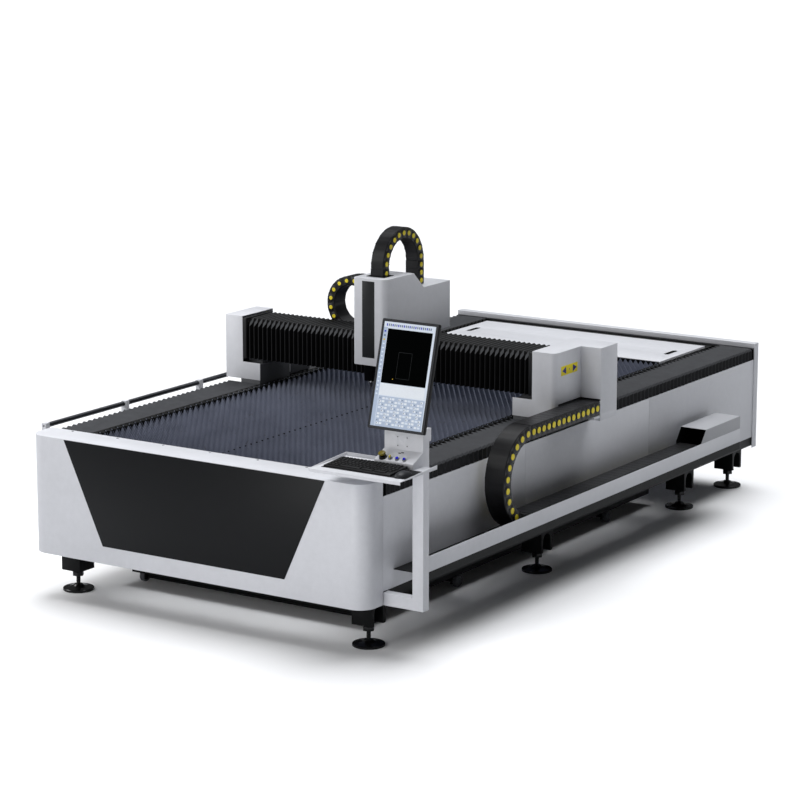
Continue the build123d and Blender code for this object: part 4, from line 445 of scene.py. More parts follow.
def skin(bm, rings, finish=lambda strip, side: 0):
    """Join rings of points into one closed form, each side of each strip with its own finish."""
    for strip, (a, b) in enumerate(zip(rings, rings[1:])):
        for i in range(len(a)):
            j = (i + 1) % len(a)
            bm.faces.new((a[i], a[j], b[j], b[i])).material_index = finish(strip, i)
    bm.faces.new(rings[0])
    bm.faces.new(rings[-1][::-1])
    bmesh.ops.recalc_face_normals(bm, faces=bm.faces)


def axes(origin, x_axis, y_axis):
    """The placing matrix of a plane with its own X and Y axes."""
    x_axis, y_axis = Vector(x_axis).normalized(), Vector(y_axis).normalized()
    turn = Matrix((x_axis, y_axis, x_axis.cross(y_axis))).transposed().to_4x4()
    return Matrix.Translation(origin) @ turn


def block(half_width, half_height):
    """A rectangle's outline about its middle."""
    return [(-half_width, -half_height), (half_width, -half_height), (half_width, half_height),
            (-half_width, half_height)]


def stadium(length, height, steps=6):
    """The outline of a plate with round ends, in millimetres, about its middle."""
    radius = height / 2
    reach = max(0.0, length / 2 - radius)
    points = []
    for side in (1, -1):
        for i in range(steps + 1):
            angle = math.radians(-90 * side + 180 * i / steps)
            points.append((side * reach + radius * math.cos(angle), radius * math.sin(angle)))
    return points


def new_tree(name, sockets):
    """A geometry tree with named inputs, its input node and one geometry output."""
    tree = bpy.data.node_groups.new(name, "GeometryNodeTree")
    for label, kind in sockets:
        tree.interface.new_socket(name=label, in_out="INPUT", socket_type=kind)
    tree.interface.new_socket(name="Geometry", in_out="OUTPUT", socket_type="NodeSocketGeometry")
    return tree, add(tree, "NodeGroupInput").outputs


def finish_tree(tree, given, points, rotation=None):
    """Set the piece on each point, place the whole, make it real and give it its finish."""
    shape = add(tree, "GeometryNodeObjectInfo", {"Object": given["Piece"]}).outputs["Geometry"]
    links = {"Points": points, "Instance": shape}
    if rotation is not None:
        links["Rotation"] = rotation
    copies = add(tree, "GeometryNodeInstanceOnPoints", links)
    where = {"Geometry": copies.outputs[0], "Translation": given["Place"], "Rotation": given["Turn"]}
    placed = add(tree, "GeometryNodeTransform", where)
    real = add(tree, "GeometryNodeRealizeInstances", {"Geometry": placed.outputs[0]})
    done = add(tree, "GeometryNodeSetMaterial", {"Geometry": real.outputs[0], "Material": given["Finish"]})
    add(tree, "NodeGroupOutput", {"Geometry": done.outputs[0]})
    return tree


COMMON = [("Piece", "NodeSocketObject"), ("Finish", "NodeSocketMaterial"), ("Count", "NodeSocketInt"),
          ("Place", "NodeSocketVector"), ("Turn", "NodeSocketRotation")]


def row_tree():
    """Pieces set along a straight row at even steps."""
    tree, given = new_tree("Pieces in a row", COMMON + [("Step", "NodeSocketVector")])
    even = {"Count": given["Count"], "Offset": given["Step"]}
    line = add(tree, "GeometryNodeMeshLine", even, mode="OFFSET")
    return finish_tree(tree, given, line.outputs[0])


def bend_tree():
    """Pieces set round part of a circle, each along the curve."""
    own = [(label, "NodeSocketFloat") for label in ("Radius", "Start", "Sweep")]
    tree, given = new_tree("Pieces round a bend", COMMON + own)
    part = {"Resolution": 96, "Radius": given["Radius"], "Start Angle": given["Start"],
            "Sweep Angle": given["Sweep"]}
    arc = add(tree, "GeometryNodeCurveArc", part, mode="RADIUS").outputs[0]
    points = add(tree, "GeometryNodeCurveToPoints", {"Curve": arc, "Count": given["Count"]}, mode="COUNT")
    tangent = {"Vector": points.outputs["Tangent"]}
    along = add(tree, "FunctionNodeAlignRotationToVector", tangent, axis="X", pivot_axis="Z")
    return finish_tree(tree, given, points.outputs["Points"], along.outputs[0])


def grown(tree, template, finish, **values):
    """The plain mesh that a geometry tree gives from a template mesh."""
    shape = bpy.data.objects.new("template", template)
    host = bpy.data.objects.new("host", bpy.data.meshes.new("host"))
    for obj in (shape, host):
        bpy.context.scene.collection.objects.link(obj)
    modifier = host.modifiers.new("grow", "NODES")
    modifier.node_group = tree
    unset = {"Place": (0.0, 0.0, 0.0), "Turn": (0.0, 0.0, 0.0)}
    values = {"Piece": shape, "Finish": bpy.data.materials[finish], **unset, **values}
    for item in tree.interface.items_tree:
        if item.item_type == "SOCKET" and item.in_out == "INPUT":
            modifier[item.identifier] = values[item.name]
    host.update_tag()
    made = bpy.data.meshes.new_from_object(host.evaluated_get(bpy.context.evaluated_depsgraph_get()))
    host.modifiers.remove(modifier)
    for obj in (host, shape):
        bpy.data.objects.remove(obj)
    if not made.polygons:
        raise RuntimeError(f"{tree.name} gave no faces")
    return made


def shape_mesh(bm):
    """A template mesh from a bmesh."""
    mesh = bpy.data.meshes.new("template")
    bm.to_mesh(mesh)
    bm.free()
    return mesh


def gather(bm, mesh, index):
    """Add a mesh's faces to a bmesh under one finish."""
    before = len(bm.faces)
    bm.from_mesh(mesh)
    bm.faces.ensure_lookup_table()
    for i in range(before, len(bm.faces)):
        bm.faces[i].material_index = index
    bpy.data.meshes.remove(mesh)


# Each finish with its edge rounding in millimetres (None takes the sheet edge) and its nodes.
DRESSED_NODES = (
    ("light_grey_powder_coat", None,
     ("front_cover", "left_side_panel", "right_side_panel", "rear_cover", "rear_cover_plate",
      "left_end_cover", "right_end_cover", "head_cover", "operator_post", "console_tray", "control_panel",
      "roller_brackets")),
    ("frame_black_enamel", 1.0, ("bed_frame", "slat_ledges", "slag_tray")),
    ("saddle_grey_enamel", 1.0, ("gantry_saddles",)),
    ("black_powder_coat", 0.8, ("front_panel_inlay",)),
    ("ground_rail_steel", 1.0, ("rails_and_racks",)),
    ("anodised_aluminium", 1.0, ("gantry_beam", "carriage_plate")),
    ("grey_abs", 1.5, ("gantry_motors",)),
    ("black_anodised_aluminium", 2.0, ("cutting_head",)),
)


class LASER_OT_covers(bpy.types.Operator):
    """Finish the folded sheet covers, panels and frame"""

    bl_idname = "laser.covers"
    bl_label = "Covers and frame"

    def execute(self, context):
        for finish, edge, nodes in DRESSED_NODES:
            for node in nodes:
                dressed(node, finish, edge)
        darken(dressed("monitor_housing", "grey_abs", 2.0), lambda spot, way: abs(way.x) > 0.6)

        low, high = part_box("chain_trough")
        sheet = mm(3)
        wall, floor, lip = high[0] - sheet, low[2] + mm(27), high[2] - mm(75)
        bm = bmesh.new()
        slab(bm, (wall, low[1], lip), high, 0, 1.0)
        slab(bm, (wall, low[1], low[2]), (high[0], high[1], lip), 1)
        slab(bm, (low[0], low[1], floor - sheet), (wall, high[1], floor), 1)
        coats = ["light_grey_powder_coat", "frame_black_enamel"]
        piece("chain_trough_tray", bm, coats, "bed", ("chain_trough",))

        low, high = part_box("trough_rear_box")

        def painted_shade_inside(spot, way):
            """Whether a face looks into the open box or down from it; these faces take black enamel as
            painted shade.
            """
            right_wall = way.x < -0.3 and spot.x > low[0] + mm(1.5)
            underside = way.z < -0.3 and way.x < 0.3
            left_wall = way.x > 0.3 and spot.x < high[0] - mm(3.5)
            rear_wall = way.y < -0.3 and spot.y > high[1] - mm(5)
            return right_wall or underside or left_wall or rear_wall

        # The rear box takes the darker copy of the light grey coat as painted shade.
        darken(dressed("trough_rear_box", "mid_grey_powder_coat"), painted_shade_inside)
        return {"FINISHED"}


class LASER_OT_table(bpy.types.Operator):
    """Make the row of toothed slats and the combs and clips that hold them"""

    bl_idname = "laser.table"
    bl_label = "Slats and holders"

    def execute(self, context):
        sizes = context.scene.laser_sizes
        low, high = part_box("slats")
        thickness = 3.0
        teeth = round((high[0] - low[0]) / sizes.tooth)
        pitch = (high[0] - low[0]) / teeth
        tip, root = pitch * 0.05, high[2] - sizes.tooth_depth
        outline = [(low[0], low[2])]
        for i in range(teeth):
            start = low[0] + pitch * i
            peak = start + pitch * 0.5
            outline += [(start, root), (peak - tip, high[2]), (peak + tip, high[2])]
        outline += [(high[0], root), (high[0], low[2])]
        bm = bmesh.new()
        across = axes((0, 0, 0), (1, 0, 0), (0, 0, 1))
        prism(bm, [(x * 1000, z * 1000) for x, z in outline], across, -thickness)
        count = round((high[1] - low[1]) / sizes.slat_pitch) + 1
        step = (high[1] - low[1] - mm(thickness)) / (count - 1)
        rows = row_tree()
        along = {"Step": (0.0, step, 0.0), "Place": (0.0, low[1], 0.0)}
        slats = grown(rows, shape_mesh(bm), "cut_slat_steel", Count=count, **along)
        piece("slat_row", slats, [], "bed", ("slats",), 20)

        comb = bmesh.new()
        near, far, top = mm(10), mm(38), high[2]
        for side in (low[0] - mm(4), high[0] - mm(32)):
            slab(comb, (side, near, top - mm(30)), (side + mm(36), far, top - mm(1)), 0, 1.0, 1)
        left, right = BED_MIDDLE - mm(3.5), BED_MIDDLE + mm(3.5)
        slab(comb, (left, mm(-1), top - mm(12)), (right, mm(4), top - mm(7)), 0, 0.5, 1)
        holders = grown(rows, shape_mesh(comb), "frame_black_enamel", Count=count - 1, **along)
        piece("slat_holder_combs", holders, [], "bed")
        return {"FINISHED"}


def rail_folds(name, node, side):
    """The folded cloth over one rail: a pleated top and a pleated skirt, one closed strip."""
    low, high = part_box(node)
    folds = round((high[1] - low[1]) / bpy.context.scene.laser_sizes.rail_fold)
    outer, inner = (high[0], low[0]) if side > 0 else (low[0], high[0])
    pleat, corner, cloth, lining = mm(9), mm(9), mm(3), mm(3.5)
    hem = high[2] - mm(24)
    bm = bmesh.new()
    sections = []
    for i in range(2 * folds + 1):
        y = low[1] + (high[1] - low[1]) * i / (2 * folds)
        sink, notch = (0, mm(3)) if i % 2 else (pleat, mm(32))
        top = high[2] - sink
        end = top - sink
        edge = outer - side * sink * 0.9
        points = [
            (inner + side * sink * 0.3, hem),
            (inner + side * sink * 0.3, end - mm(1)),
            (inner + side * mm(2), end),
            (inner + side * notch, top),
            (edge - side * corner, top),
            (edge, top - corner),
            (edge, low[2]),
            (edge - side * cloth, low[2]),
            (edge - side * cloth, top - corner - cloth),
            (edge - side * (corner + cloth), top - lining),
            (inner + side * (notch + cloth), top - lining),
            (inner + side * mm(5), end - lining),
            (inner + side * mm(5), hem),
        ]
        sections.append([bm.verts.new((x, y, z)) for x, z in points])
    # Painted shade: the inner edge and the pleats' notches take the black cloth; the top takes the rail cloth
    # and the rest the skirt cloth.
    painted_notch_shade, upper, skirt = 2, 0, 1
    sides = [painted_notch_shade] * 3 + [upper] * 2 + [skirt] * 8
    skin(bm, sections, lambda strip, i: sides[i])
    obj = piece(name, bm, ["rail_cover_cloth", "rail_skirt_cloth", "beam_cover_cloth"], None, (node,), 12)
    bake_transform(obj)


class LASER_OT_rail_covers(bpy.types.Operator):
    """Make the folded covers over the rails"""

    bl_idname = "laser.rail_covers"
    bl_label = "Rail folds"

    def execute(self, context):
        for end, bodies in (("front", ("bed", "gantry")), ("rear", ("gantry", "bed"))):
            for hand, side in (("left", -1), ("right", 1)):
                rail_folds(f"rail_folds_{end}_{hand}", f"rail_bellows_{end}_{hand}", side)
        return {"FINISHED"}


def beam_folds(name, node):
    """Accordion folds over the beam's front and top: pointed pleats with a slanted shoulder."""
    low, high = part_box(node)
    folds = round((high[0] - low[0]) / bpy.context.scene.laser_sizes.beam_fold)
    valley, lining = mm(26), mm(31)

    def outline(inset):
        """A section's outer line, from the front's lower edge over the shoulder to the top's rear edge."""
        shoulder, top = mm(38) + inset * 0.3, high[2] - inset * 0.32
        start, end = (low[1] + inset, high[2] - shoulder), (low[1] + shoulder, top)
        middle = ((start[0] + end[0]) / 2, (start[1] + end[1]) / 2)
        return [(low[1] + inset, low[2]), start, middle, end, (high[1], top)]

    back = outline(lining)[::-1]
    # A fold's valley and the two edges of its leaf: their share of the pitch, the share at the shoulder's
    # middle, and how far they are set in.
    shares = ((0.0, 0.0, valley), (0.44, 0.2, 0.0), (0.58, 0.84, 0.0))
    steps = [(i + share, i + leaf, inset) for i in range(folds) for share, leaf, inset in shares]
    bm = bmesh.new()
    sections = []
    for share, leaf, inset in steps + [(folds, folds, valley)]:
        ring = []
        for i, (y, z) in enumerate(outline(inset) + back):
            x = low[0] + (high[0] - low[0]) * (leaf if i == 2 else share) / folds
            ring.append(bm.verts.new((x, y, z)))
        sections.append(ring)
    # Painted light: each fold's leaf takes a lighter copy of the black cloth on its front and a lighter one
    # still on its shoulder and top.
    painted_ridge_light = (2, 1, 1, 1)
    skin(bm, sections, lambda strip, i: painted_ridge_light[i] if strip % 3 == 1 and i < 4 else 0)
    obj = piece(name, bm, ["beam_cover_cloth", "welded_fold_cloth", "ridge_fold_cloth"], None, (node,), 12)
    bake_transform(obj)


class LASER_OT_beam_covers(bpy.types.Operator):
    """Make the accordion folds over the gantry beam"""

    bl_idname = "laser.beam_covers"
    bl_label = "Beam folds"

    def execute(self, context):
        beam_folds("beam_folds_left", "beam_bellows_left")
        beam_folds("beam_folds_right", "beam_bellows_right")
        return {"FINISHED"}


class Chain:
    """One closed energy chain: its section and link pitch in millimetres, its turn, and its two trees."""

    SHELL = 3
    RING_STEPS = 6

    def __init__(self, width, thickness, pitch, turn, trees):
        self.width, self.thickness, self.pitch, self.turn = width, thickness, pitch, turn
        self.rows, self.bends = trees

    def side(self, hand, inset):
        """The plane of one side of a link, an inset below its outer face."""
        return axes((0, 0, hand * mm(self.width / 2 - inset)), (1, 0, 0), (0, hand, 0))

    def plated(self, bm):
        """The template of a link: what a bmesh holds, and a round-ended plate on each side."""
        outline = stadium(self.pitch * 0.98, self.thickness * 0.86, 5)
        for hand in (-1, 1):
            prism(bm, outline, self.side(hand, self.SHELL), self.SHELL, 0, 0.8)
        return shape_mesh(bm)

    def lids(self, length):
        """One link's outer shells: a lid above and below and a plate on each side."""
        bm = bmesh.new()
        half, side, reach = self.thickness / 2, mm(self.width / 2 - self.SHELL), mm(length / 2)
        for low in (-half, half - self.SHELL):
            slab(bm, (-reach, mm(low), -side), (reach, mm(low + self.SHELL), side), 0, 0.7, 1)
        return self.plated(bm)

    def caps(self):
        """The round pin caps on both sides of a link, each with a small dimple."""
        bm = bmesh.new()
        radius = self.thickness * 0.21
        profile = [(radius, 0), (radius, 1.6), (radius * 0.86, 2.4), (radius * 0.35, 2.4),
                   (radius * 0.25, 1.8), (0, 1.8)]
        for hand in (-1, 1):
            turned(bm, profile, self.side(hand, 0.5), 0, 14)
        return shape_mesh(bm)

    def stretch(self, name, core, place, tree, shells, values, body, stands_for):
        """One finished stretch of links: its core, its shells and its pin caps."""
        core.transform(place)
        bm = bmesh.new()
        gather(bm, shape_mesh(core), 0)
        gather(bm, grown(tree, shells, "chain_nylon", Turn=self.turn, **values), 0)
        gather(bm, grown(tree, self.caps(), "chain_cap_plastic", Turn=self.turn, **values), 1)
        return piece(name, bm, ["chain_nylon", "chain_cap_plastic"], body, stands_for)

    def run(self, name, start, length, body=None, stands_for=()):
        """A straight run of links from a point, along the chain's own X axis."""
        links = max(1, round(length / self.pitch))
        step, gap = length / links, 0.8
        half, side = mm(self.thickness / 2 - 2), mm(self.width / 2 - 2)
        core = bmesh.new()
        slab(core, (0, -half, -side), (mm(length), half, side), 0, 3.0)
        for i in range(1, links):
            geometry = core.verts[:] + core.edges[:] + core.faces[:]
            cut = Vector((mm(step * i), 0, 0))
            bmesh.ops.bisect_plane(core, geom=geometry, plane_co=cut, plane_no=(1, 0, 0))
        place = Matrix.Translation(start) @ Euler(self.turn).to_matrix().to_4x4()
        first = place @ Vector((mm(step / 2), 0, 0))
        values = {"Count": links, "Place": tuple(first), "Step": (mm(step), 0.0, 0.0)}
        return self.stretch(name, core, place, self.rows, self.lids(step - gap), values, body, stands_for)

    def bend(self, name, centre, radius, start, sweep, body, stands_for):
        """Links round part of a circle, given by its start angle and sweep in degrees."""
        links = max(2, round(radius * math.radians(sweep) / (self.pitch * 1.16)))
        share, steps = sweep / links, self.RING_STEPS * links
        half, side, cut = self.thickness / 2 - 1, self.width / 2 - 2, 3
        section = [(-half + cut, -side), (half - cut, -side), (half, -side + cut), (half, side - cut),
                   (half - cut, side), (-half + cut, side), (-half, side - cut), (-half, -side + cut)]
        core = bmesh.new()
        rings = []
        for i in range(steps + 1):
            angle = math.radians(start + sweep * i / steps)
            groove = 0.0 if i % self.RING_STEPS else 1.2
            ring = []
            for out, wide in section:
                reach = mm(radius + out - math.copysign(groove, out))
                ring.append(core.verts.new((reach * math.cos(angle), reach * math.sin(angle), mm(wide))))
            rings.append(ring)
        skin(core, rings)
        place = Matrix.Translation(centre) @ Euler(self.turn).to_matrix().to_4x4()
        values = {"Count": links, "Place": tuple(centre), "Radius": mm(radius),
                  "Start": math.radians(start + share / 2), "Sweep": math.radians(sweep - share)}
        plates = self.plated(bmesh.new())
        return self.stretch(name, core, place, self.bends, plates, values, body, stands_for)


def rolling_chain(name, axis, pitch, turn, trees):
    """A chain that rolls along X (axis 0) or Y (axis 1): an upper run, a half round bend, a lower run."""
    low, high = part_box(f"{name}_chain_upper_run")
    lower_low, lower_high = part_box(f"{name}_chain_lower_run")
    upper_z, lower_z = (low[2] + high[2]) / 2, (lower_low[2] + lower_high[2]) / 2
    radius = (upper_z - lower_z) / 2 * 1000
    across = 1 - axis
    middle = (low[across] + high[across]) / 2

    def spot(along, z):
        """A point of the chain's middle plane."""
        return Vector((middle, along, z) if axis else (along, middle, z))

    def mark(along):
        """A point of the axis that the chain rolls along."""
        return (0, along, 0) if axis else (along, 0, 0)

    chain = Chain((high[across] - low[across]) * 1000, (high[2] - low[2]) * 1000, pitch, turn, trees)
    upper = chain.run(f"{name}_chain_upper_links", spot(low[axis], upper_z), (high[axis] - low[axis]) * 1000,
                      None, (f"{name}_chain_upper_run",))
    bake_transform(upper)
    centre = spot(low[axis], (upper_z + lower_z) / 2)
    for level, start in (("upper", 90), ("lower", 180)):
        chain.bend(f"{name}_chain_{level}_bend", centre, radius, start, 90, f"{name}_bend_{level}",
                   (f"{name}_chain_bend_{level}",))
    lower = chain.run(f"{name}_chain_lower_links", spot(lower_low[axis], lower_z),
                      (lower_high[axis] - lower_low[axis]) * 1000, None, (f"{name}_chain_lower_run",))
    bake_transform(lower)


class LASER_OT_chains(bpy.types.Operator):
    """Make the three energy chains, link by link"""

    bl_idname = "laser.chains"
    bl_label = "Energy chains"

    def execute(self, context):
        trees = row_tree(), bend_tree()
        along_bed = tuple(Matrix(((0, 0, 1), (1, 0, 0), (0, 1, 0))).to_euler())
        across_bed = (math.radians(90), 0.0, 0.0)
        down = tuple(Matrix(((0, 0, 1), (0, 1, 0), (-1, 0, 0))).to_euler())
        rolling_chain("gantry", 1, 50, along_bed, trees)
        rolling_chain("carriage", 0, 46, across_bed, trees)

        low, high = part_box("lift_chain")
        width, thickness, pitch = (high[0] - low[0]) * 1000, 60, 42
        middle = (low[0] + high[0]) / 2
        front, rear = low[1] + mm(thickness / 2), high[1] - mm(thickness / 2)
        radius = (rear - front) / 2 * 1000
        centre = Vector((middle, (front + rear) / 2, high[2] - mm(radius + thickness / 2)))
        loop = Chain(width, thickness, pitch, along_bed, trees)
        loop.bend("lift_chain_loop", centre, radius, 0, 180, "carriage", ("lift_chain",))
        leg = Chain(width, thickness, pitch, down, trees)
        rear_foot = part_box("head_cover")[1][2] - mm(85)
        rear_top, front_top = Vector((middle, rear, centre.z)), Vector((middle, front, centre.z))
        leg.run("lift_chain_rear_leg", rear_top, (centre.z - rear_foot) * 1000, "carriage")
        front_leg = leg.run("lift_chain_front_leg", front_top, (centre.z - low[2]) * 1000)
        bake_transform(front_leg)
        return {"FINISHED"}


class LASER_OT_turned_parts(bpy.types.Operator):
    """Make the levelling feet, loading rollers, trolley wheels and nozzle"""

    bl_idname = "laser.turned_parts"
    bl_label = "Feet, rollers, wheels and nozzle"

    def execute(self, context):
        low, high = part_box("levelling_feet")
        top, pad, screw, nut = high[2] * 1000, 77.5, 10, 29
        length = BED_HIGH[1] - BED_LOW[1]
        inner_rows = [BED_LOW[1] + length * share for share in (0.425, 0.826)]
        rows = [low[1] + mm(pad), *inner_rows, high[1] - mm(pad)]
        foot = [(0, 0), (74, 0), (pad, 2), (pad, 11), (75, 13.5), (58, 16), (34, 20), (25, 25), (20, 31),
                (12, 33), (screw, 36), (screw, top), (0, top)]
        hexagon = [(nut * math.cos(math.pi * i / 3), nut * math.sin(math.pi * i / 3)) for i in range(6)]
        thread = [(screw, 0), (screw + 1, 1.5), (screw, 3)]
        bm = bmesh.new()
        for x in (low[0] + mm(pad), high[0] - mm(pad)):
            for y in rows:
                turned(bm, foot, Matrix.Translation((x, y, 0)))
                for level, height in ((top - 34, 22), (top - 10, 10)):
                    prism(bm, hexagon, Matrix.Translation((x, y, mm(level))), height, 0, 1.5)
                for turn in range(3):
                    turned(bm, thread, Matrix.Translation((x, y, mm(44 + 9 * turn))), 0, 20)
        piece("levelling_foot_set", bm, ["gloss_black_enamel"], "bed", ("levelling_feet",))

        pin, radius = 14, 12.5
        end = [(0, 0), (6, 0), (6, pin), (radius - 2, pin), (radius, pin + 2), (radius, pin + 18),
               (radius - 1, pin + 19), (radius - 1, pin + 22), (radius, pin + 23)]
        for i in range(1, 6):
            node = f"loading_roller_{i}"
            middle = middle_of(node)
            place = axes((middle.x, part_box(node)[0][1], middle.z), (0, 0, 1), (1, 0, 0))
            bm = bmesh.new()
            turned(bm, mirrored(end, spans(node)[1]), place, 0, 28)
            piece(f"loading_roller_bar_{i}", bm, ["turned_roller_steel"], f"roller_{i}", (node,))

        tread, overlap, finishes = 26, 20, ["caster_grey_rubber", "frame_black_enamel"]
        tyre = mirrored([(0, 0), (12, 0), (14, 2), (21, 3), (23, 0), (27, 0), (30, 3)], tread)
        for i in range(1, 5):
            node = f"wheelset_{i}"
            middle, length = middle_of(node), spans(node)[0]
            place = axes((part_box(node)[0][0], middle.y, middle.z), (0, 1, 0), (0, 0, 1))
            bm = bmesh.new()
            for start in (0, length - tread):
                turned(bm, [(r, start + h) for r, h in tyre], place, 0, 32)
            turned(bm, mirrored([(0, overlap), (10, overlap)], length), place, 1, 24)
            piece(f"trolley_wheels_{i}", bm, finishes, f"wheels_{i}", (node,))

        middle, tall = middle_of("nozzle"), spans("nozzle")[2]
        bm = bmesh.new()
        place = Matrix.Translation((middle.x, middle.y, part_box("nozzle")[0][2]))
        turned(bm, [(0, 3), (1.5, 0), (4.5, 0), (5.5, 1), (12, tall - 10), (15, tall - 9), (15, tall - 2),
                    (14, tall), (0, tall)], place)
        piece("nozzle_tip", bm, ["zinc_plated_steel"], "head", ("nozzle",))
        return {"FINISHED"}


class LASER_OT_monitor(bpy.types.Operator):
    """Make the monitor's display with a plain generic layout"""

    bl_idname = "laser.monitor"
    bl_label = "Monitor display"

    def execute(self, context):
        tilt, glass = math.radians(15), 3.0
        right, up = Vector((1, 0, 0)), Vector((0, math.sin(tilt), math.cos(tilt)))
        out = right.cross(up)
        face = middle_of("monitor_screen") + out * mm(glass / 2)
        wide, tall = spans("monitor_screen")[0], 474.0
        finishes = ["display_pale", "display_blue", "display_white", "display_black", "display_ink",
                    "display_mark", "display_spark", "display_faint"]
        pale, blue, white, black, ink, mark, spark, faint = range(len(finishes))
        bm = bmesh.new()
        prism(bm, block(wide / 2, tall / 2), axes(face - out * mm(glass), right, up), glass, pale)

        def patch(u0, v0, u1, v1, index, proud=0.25):
            """A flat field between two corners, given as shares of the screen, a little proud of it."""
            corners = [(u0, v0), (u1, v0), (u1, v1), (u0, v1)]
            outline = [((u - 0.5) * wide, (v - 0.5) * tall) for u, v in corners]
            prism(bm, outline, axes(face + out * mm(proud), right, up), 0.2, index)

        patch(0.0, 0.945, 1.0, 1.0, pale, 0.02)
        patch(0.0, 0.0, 0.075, 0.945, blue, 0.02)
        patch(0.085, 0.415, 0.955, 0.935, black, 0.05)
        patch(0.085, 0.3, 0.955, 0.41, white, 0.05)
        patch(0.085, 0.0, 0.985, 0.292, blue, 0.05)
        for i in range(24):
            u = 0.05 + i * 0.037
            patch(u, 0.958, u + 0.02, 0.98, ink if i % 3 else mark)
        for i in range(16):
            v = i * 0.04
            patch(0.02, 0.9 - v, 0.055, 0.914 - v, (mark, ink, spark)[i] if i < 3 else pale)
        for row in range(9):
            for column in range(14):
                u, v = 0.1 + column * 0.062, 0.02 + row * 0.03
                kind = (row * 5 + column * 3) % 7
                if kind < 5:
                    patch(u, v, u + 0.05, v + 0.02, white if kind < 4 else pale)
                if kind in (0, 2, 5):
                    patch(u + 0.008, v + 0.006, u + 0.026, v + 0.014, ink, 0.5)
        left, bottom, far, top, half_u, half_v = 0.36, 0.47, 0.62, 0.72, 0.003, 0.002
        for u0, v0, u1, v1 in ((left, bottom, far, bottom), (far, bottom, far, top), (left, top, far, top),
                               (left, bottom, left, top)):
            patch(u0 - half_u, v0 - half_v, u1 + half_u, v1 + half_v, faint)
        patch(0.3, 0.455, 0.312, 0.463, spark)
        piece("monitor_display", bm, finishes, "monitor", ("monitor_screen",))
        return {"FINISHED"}


